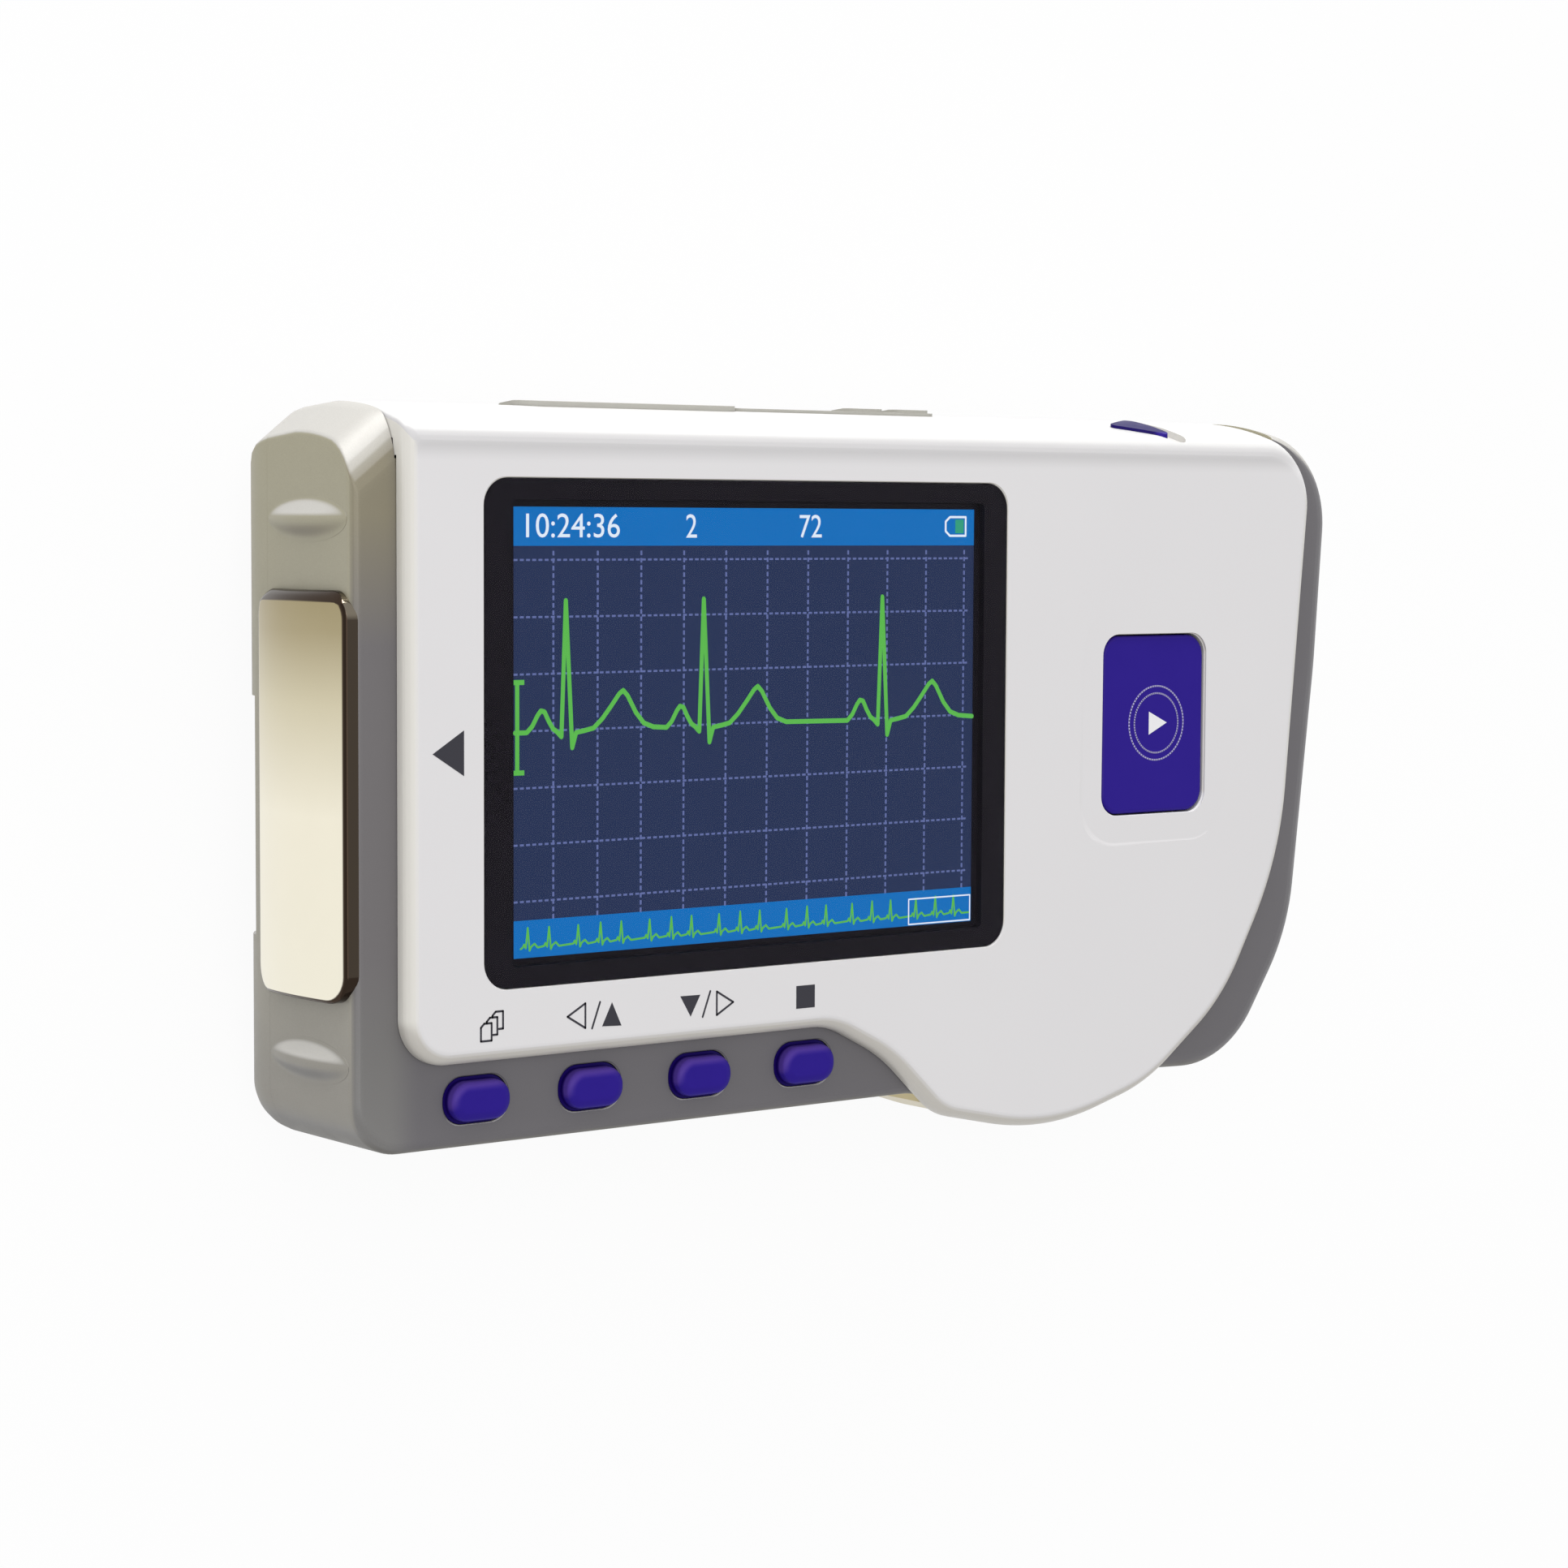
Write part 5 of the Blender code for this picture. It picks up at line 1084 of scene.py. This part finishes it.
def make_picture():
    """Lit bed, bars, dashed grid, traces and generic figures of the display."""
    wide, high = SCREEN_SIZE[0] / 2, SCREEN_SIZE[1] / 2
    under = [PICTURE + level * LAYER for level in range(-2, 6)]
    bar_low, strip_top = 17.05 * MM, -17.15 * MM
    edge = panel(-wide - 0.0007, -high - 0.0006, wide + 0.0007, high + 0.0006)
    dress(flat_piece("screen_edge", [edge], under[0], under[1]), "case", "black_plastic", MASK)
    bed = panel(-wide, strip_top, wide, bar_low)
    show(flat_piece("screen_bed", [bed], under[1], under[2]), SCREEN_BED)
    bars = [panel(-wide, bar_low, wide, high), panel(-wide, -high, wide, strip_top)]
    show(flat_piece("screen_bars", bars, under[1], under[3]), SCREEN_BAR)
    lines = []
    for index in range(11):
        x = (-23.1 + 4.93 * index) * MM
        lines += dashes((x, strip_top), (x, bar_low), 0.00068, 0.62, 0.00021)
    for index in range(7):
        y = (15.77 - 5.2 * index) * MM
        lines += dashes((-wide, y), (wide, y), 0.00068, 0.62, 0.00019)
    show(flat_piece("screen_grid", lines, under[2], under[3]), SCREEN_GRID)
    ends = (4.65, -3.6)
    mark = in_metres([(-27.07, y) for y in ends])
    green = strokes([heart_trace(), mark], 0.00045)
    green += [panel(-0.02745, y * MM - 0.00023, -0.0263, y * MM + 0.00023) for y in ends]
    green += strokes([small_trace()], 0.00019)
    show(flat_piece("screen_trace", green, under[3], under[4]), SCREEN_TRACE)
    rows = [("10:24:36", -0.0261, 0.0178, 0.0104, 0.0022), ("2", -0.0081, 0.0178, 0.00125, 0.0022),
            ("72", 0.0054, 0.0178, 0.0027, 0.0022)]
    show(figures("screen_digits", rows, under[4], under[5]), SCREEN_WHITE)
    box = [(19.35, -17.95), (27.3, -17.95), (27.3, -20.45), (19.35, -20.45), (19.35, -17.95)]
    white = strokes([in_metres(box)], 0.00014)
    cell = [(24.3, 18.0), (26.35, 18.0), (26.35, 19.85), (24.3, 19.85), (23.75, 19.4),
            (23.75, 18.45), (24.3, 18.0)]
    white += strokes([in_metres(cell)], 0.00022)
    show(flat_piece("screen_figures", white, under[4], under[5]), SCREEN_WHITE)
    charge = flat_piece("screen_charge", [panel(0.0250, 0.01825, 0.0261, 0.0196)], under[3], under[4])
    show(charge, SCREEN_CHARGE)


# Keys and prints
def key_foot(place, size, radius, low):
    """Foot that keeps a key from falling out."""
    return rounded_block("flange", place, size, radius, [(low, 0), (low + LEAST_CORNER, 0)])


def make_record_key():
    """Large key with a crisp rounded edge, and its printed ring and triangle."""
    low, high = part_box("record_key")
    top = high.z
    key = rounded_block("violet_record_key", RECORD_PLACE, RECORD_SIZE, RECORD_CORNER,
                        [(low.z, 0)] + crown_levels(top - PRINT, RECORD_BEND, RECORD_BEND))
    add(key, key_foot(RECORD_PLACE, grown(RECORD_SIZE, 0.0016), RECORD_CORNER, low.z))
    dress(key, "record_button", "violet_key", RECORD_VIOLET, "record_key")
    x, y = RECORD_PLACE[0] + 0.0004, RECORD_PLACE[1] + 0.0001
    rings = []
    for radius in (0.00385, 0.00310):
        angles = [math.tau * step / 72 for step in range(73)]
        line = [(x + radius * math.cos(angle), y + radius * math.sin(angle)) for angle in angles]
        rings += strokes([line], 0.00016)
    arrow = [(x - 0.00105, y - 0.00120), (x + 0.00150, y), (x - 0.00105, y + 0.00120)]
    for name, outlines, ink in (("record_rings", rings, PALE_INK), ("record_arrow", [arrow], WHITE_INK)):
        dress(flat_piece(name, outlines, top - PRINT, top), "record_button", "violet_key", ink)


def make_oval_key(index):
    """Small oval key: a low rim, then a soft shoulder up to a level plateau."""
    name = KEY_NAMES[index]
    low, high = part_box(name + "_key")
    top, foot = high.z, GREY_TOP - 0.00015
    levels = [(low.z, 0), (foot - THIN, 0), (foot, THIN / 2), (foot, KEY_RIM)]
    levels += crown_levels(top, *KEY_SHOULDER, 12, KEY_RIM + 0.00006)
    key = rounded_block("violet_" + name + "_key", KEY_PLACES[index], grown(KEY_HOLE, -THIN),
                        KEY_CORNER, levels)
    add(key, key_foot(KEY_PLACES[index], grown(KEY_HOLE, 0.0010), 0.00245, low.z))
    return dress(key, name + "_button", "violet_key", KEY_VIOLET, name + "_key")


def make_face_prints():
    """Plain symbols on the white face: triangles, strokes, pages and a square."""
    solid = [[(-36.68, -1.50), (-33.35, -3.58), (-33.35, 0.54)],
             [(-18.22, -27.45), (-16.02, -27.55), (-17.10, -25.28)],
             [(-8.03, -27.35), (-6.90, -25.36), (-9.25, -25.33)],
             [(4.62, -27.62), (6.90, -27.62), (6.90, -25.40), (4.62, -25.40)]]
    plates = [in_metres(outline) for outline in solid]
    lines = [[(-22.1, -26.25), (-20.1, -27.45), (-20.1, -25.15), (-22.1, -26.25)],
             [(-19.35, -27.55), (-18.45, -25.15)],
             [(-6.62, -27.50), (-5.72, -25.10)],
             [(-4.95, -27.45), (-4.95, -25.20), (-3.0, -26.35), (-4.95, -27.45)]]
    for step in range(3):
        x, y = -31.58 + 0.62 * step, -27.75 + 0.50 * step
        page = [(x, y), (x + 1.15, y), (x + 1.15, y + 1.6), (x + 0.35, y + 1.6), (x, y + 1.25), (x, y)]
        if step:
            page = [(x, y + 1.10)] + page[4:1:-1] + [(x + 1.15, y), (x + 0.70, y)]
        lines.append(page)
    plates += strokes([in_metres(line) for line in lines], 0.00020)
    dress(flat_piece("face_symbols", plates, FRONT, BODY_DEPTH), "case", "black_plastic", INK)


# Fittings on the sides
def make_end_electrode():
    """Pressed plate with rounded, bent edges on the end face."""
    width, height = PAD_CREST - PAD_BASE, PAD_HIGH - PAD_LOW
    levels = [(-0.0018, [0] * 4)]
    levels += [(h, [i] * 4) for h, i in crown_levels(PAD_PROUD, PAD_BEND, PAD_BEND, 10)]
    plate = outline_loft("end_plate", rectangle(width, height, 0.0026), levels)
    shape = bmesh.new()
    shape.from_mesh(plate.data)
    cuts = [((width * step / 24, 0, 0), (1, 0, 0)) for step in range(-11, 12)]
    cuts += [((0, height / 2 - PAD_TOP_BEND * step / 8, 0), (0, 1, 0)) for step in range(1, 9)]
    for point, normal in cuts:
        bmesh.ops.bisect_plane(shape, geom=shape.verts[:] + shape.edges[:] + shape.faces[:],
                               dist=TUCK / 10, plane_co=point, plane_no=normal)
    for vertex in shape.verts:
        if vertex.co.z > 0:
            near_top = max(vertex.co.y - height / 2 + PAD_TOP_BEND, 0) / PAD_TOP_BEND
            drop = PAD_CROWN * (2 * vertex.co.x / width) ** 2 + PAD_TOP_DROP * near_top ** 1.3
            vertex.co.z -= drop * vertex.co.z / PAD_PROUD
    shape.to_mesh(plate.data)
    shape.free()
    turn_mesh(plate, -math.pi / 2, 'Y')
    shift(plate, (-END_REACH, (PAD_LOW + PAD_HIGH) / 2, (PAD_BASE + PAD_CREST) / 2))
    return dress(plate, "case", "polished_metal", END_METAL, "end_electrode")


def make_side_fittings():
    """Finger contact, slider, cap and strap, cut from the case's own surface."""
    strip = skin_piece("finger_plate", finger_prism("finger_prism", 0), 0.0006, 0.0005)
    dress(strip, "case", "gold_metal", FINGER_METAL, "finger_electrode")
    knob = skin_piece("slider_knob", knob_prism("knob_prism", KNOB_X, *KNOB_SIZE), KNOB_PROUD, KNOB_SINK)
    foot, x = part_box("power_switch")[0].y - OFFSET.y, KNOB_X + STEM_OFF
    wide, high = STEM_SIZE[0] / 2, STEM_SIZE[1] / 2
    add(knob, block("stem", (x - wide, foot, STEM_HEIGHT - high),
                    (x + wide, TOP_REACH - 0.0008, STEM_HEIGHT + high)))
    dress(knob, "power_slider", "violet_key", RECORD_VIOLET, "power_switch")
    prism = top_prism("cap_prism", CAP_MIDDLE, CAP_HEIGHT, CAP_LENGTH, CAP_WIDTH, CAP_CORNER)
    cap = skin_piece("soft_cap", prism, 0.0005, CAP_SINK)
    add(cap, run_along_y("plug", rectangle(*PLUG_SIZE, 0.0009), CAP_MIDDLE, CAP_HEIGHT,
                         TOP_REACH - CAP_SINK - 0.0016, TOP_REACH - CAP_SINK / 2))
    dress(cap, "cap", "soft_grey", SOFT, "socket_cap")
    left = CAP_LEFT + CAP_LENGTH + SEAM
    prism = top_prism("strap_prism", left + CAP_LENGTH / 2, CAP_HEIGHT, CAP_LENGTH, STRAP_WIDTH,
                      STRAP_CORNER)
    strap = skin_piece("soft_strap", prism, 0.0003, CAP_SINK)
    for share in (0.66, 0.90):
        rib = top_prism("rib", left + CAP_LENGTH * share, CAP_HEIGHT, 0.0042, STRAP_WIDTH - 2 * SEAM,
                        STRAP_CORNER)
        add(strap, skin_piece("rib", rib, 0.0006, CAP_SINK / 2))
    dress(strap, "case", "soft_grey", SOFT, "cap_strap")


def make_screws():
    """Case screws with a rounded head and a cross recess."""
    for index, (x, y) in enumerate(screw_places()):
        name = "case_screw_" + str(index + 1)
        low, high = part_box(name)
        crown = low.z
        profile = [(0.0010, crown), (0.0015, crown + 0.0001), (0.0018, crown + 0.0004),
                   (0.0018, crown + 0.0012), (0.0010, crown + 0.0012), (0.0010, high.z)]
        screw = turned("cross_screw_" + str(index + 1), (x, y), profile)
        for wide, long in ((0.0004, 0.0020), (0.0020, 0.0004)):
            cut(screw, block("recess", (x - wide / 2, y - long / 2, crown - OVERRUN),
                             (x + wide / 2, y + long / 2, crown + 0.0007)))
        dress(screw, "case", "steel", STEEL, name)


def dress_hidden_nodes():
    """Finishes for the nodes that keep their own shapes."""
    finishes = {"steel": STEEL, "black_plastic": BLACK, "board_green": BOARD, "ribbon_amber": AMBER,
                "cell_jacket": JACKET, "screen_blue": BLACK}
    slots = {row["node"]: row["material_slot"] for row in frame["record"]["subparts"]}
    for name, node in NODES.items():
        if slots[name] in finishes:
            for holder in node.material_slots:
                holder.material = finishes[slots[name]]


# Camera, from the solved view of the photo
YAW, PITCH, ROLL = (math.radians(angle) for angle in (37.766004, 4.1784999, 0.2859533))
EYE = Vector((-0.21119, 0.019786, 0.301451))
PHOTO_SIZE = 1932
FOCAL_PIXELS = 4504.743


def make_camera():
    data = bpy.data.cameras.new("camera")
    data.sensor_width = 36
    data.lens = data.sensor_width * FOCAL_PIXELS / PHOTO_SIZE
    data.clip_start, data.clip_end = 0.01, 20
    camera = new_object("camera", data)
    flip = Matrix(((1, 0, 0), (0, -1, 0), (0, 0, -1)))
    tilt = Matrix.Rotation(ROLL, 3, 'Z') @ Matrix.Rotation(PITCH, 3, 'X')
    axes = (flip @ (tilt @ flip @ Matrix.Rotation(YAW, 3, 'Y'))).transposed()
    camera.matrix_world = Matrix.Translation(EYE + OFFSET) @ axes.to_4x4()
    bpy.context.scene.camera = camera


# Floor and light
FLOOR_GLOW = 0.93
SKY_LEVEL = 0.62


def make_floor():
    """Pale floor under the back; to the camera it is a white ground that keeps the shadow."""
    size = 4
    corners = [Vector((x * size, y * size, -0.00005)) for x, y in QUARTERS]
    floor = mesh_object("pale_floor", corners, [[0, 1, 2, 3]])
    paint = Finish("floor_white")
    paint.put((0.90, 0.90, 0.90), "Base Color")
    paint.put(0.9, "Roughness")
    paint.put(0.0, "Specular IOR Level")
    path, glow, both = paint.node("LightPath"), paint.node("Emission"), paint.node("MixShader")
    paint.put(1.0, glow.inputs["Strength"])
    seen = paint.calculate('MAXIMUM', path.outputs["Is Camera Ray"], path.outputs["Is Glossy Ray"])
    share = paint.calculate('MULTIPLY', seen, FLOOR_GLOW)
    for output, socket in zip((share, paint.shader.outputs[0], glow.outputs[0]), both.inputs):
        paint.put(output, socket)
    paint.put(both.outputs[0], paint.tree.nodes["Material Output"].inputs["Surface"])
    floor.data.materials.append(paint.material)


def make_lamp(name, place_at, aim, size, power):
    data = bpy.data.lights.new(name, 'AREA')
    data.shape = 'RECTANGLE'
    data.size, data.size_y = size
    data.energy = power
    lamp = new_object(name, data)
    lamp.location = place_at
    lamp.rotation_euler = (Vector(aim) - Vector(place_at)).to_track_quat('-Z', 'Y').to_euler()


def make_light():
    """Soft studio light: a pale sky, a broad lamp over the face and a strong one along the top side."""
    world = bpy.data.worlds.new("studio")
    bpy.context.scene.world = world
    world.use_nodes = True
    tree = world.node_tree
    sky = tree.nodes["Background"]
    sky.inputs["Color"].default_value = (1, 1, 1, 1)
    sky.inputs["Strength"].default_value = SKY_LEVEL
    make_lamp("key_lamp", (-0.35, 0.10, 0.75), (0, 0, 0.012), (0.60, 0.60), 1.9)
    make_lamp("top_lamp", (0.0, 0.62, 0.13), (0, 0.03, 0.018), (0.90, 0.16), 3.3)


make_camera()
make_floor()
make_light()
make_front_cover()
make_main_housing()
make_rear_cover()
make_door()
make_window()
make_picture()
make_record_key()
for number in range(len(KEY_NAMES)):
    make_oval_key(number)
make_face_prints()
make_end_electrode()
make_side_fittings()
make_screws()
dress_hidden_nodes()

bpy.context.scene.view_settings.view_transform = 'Standard'
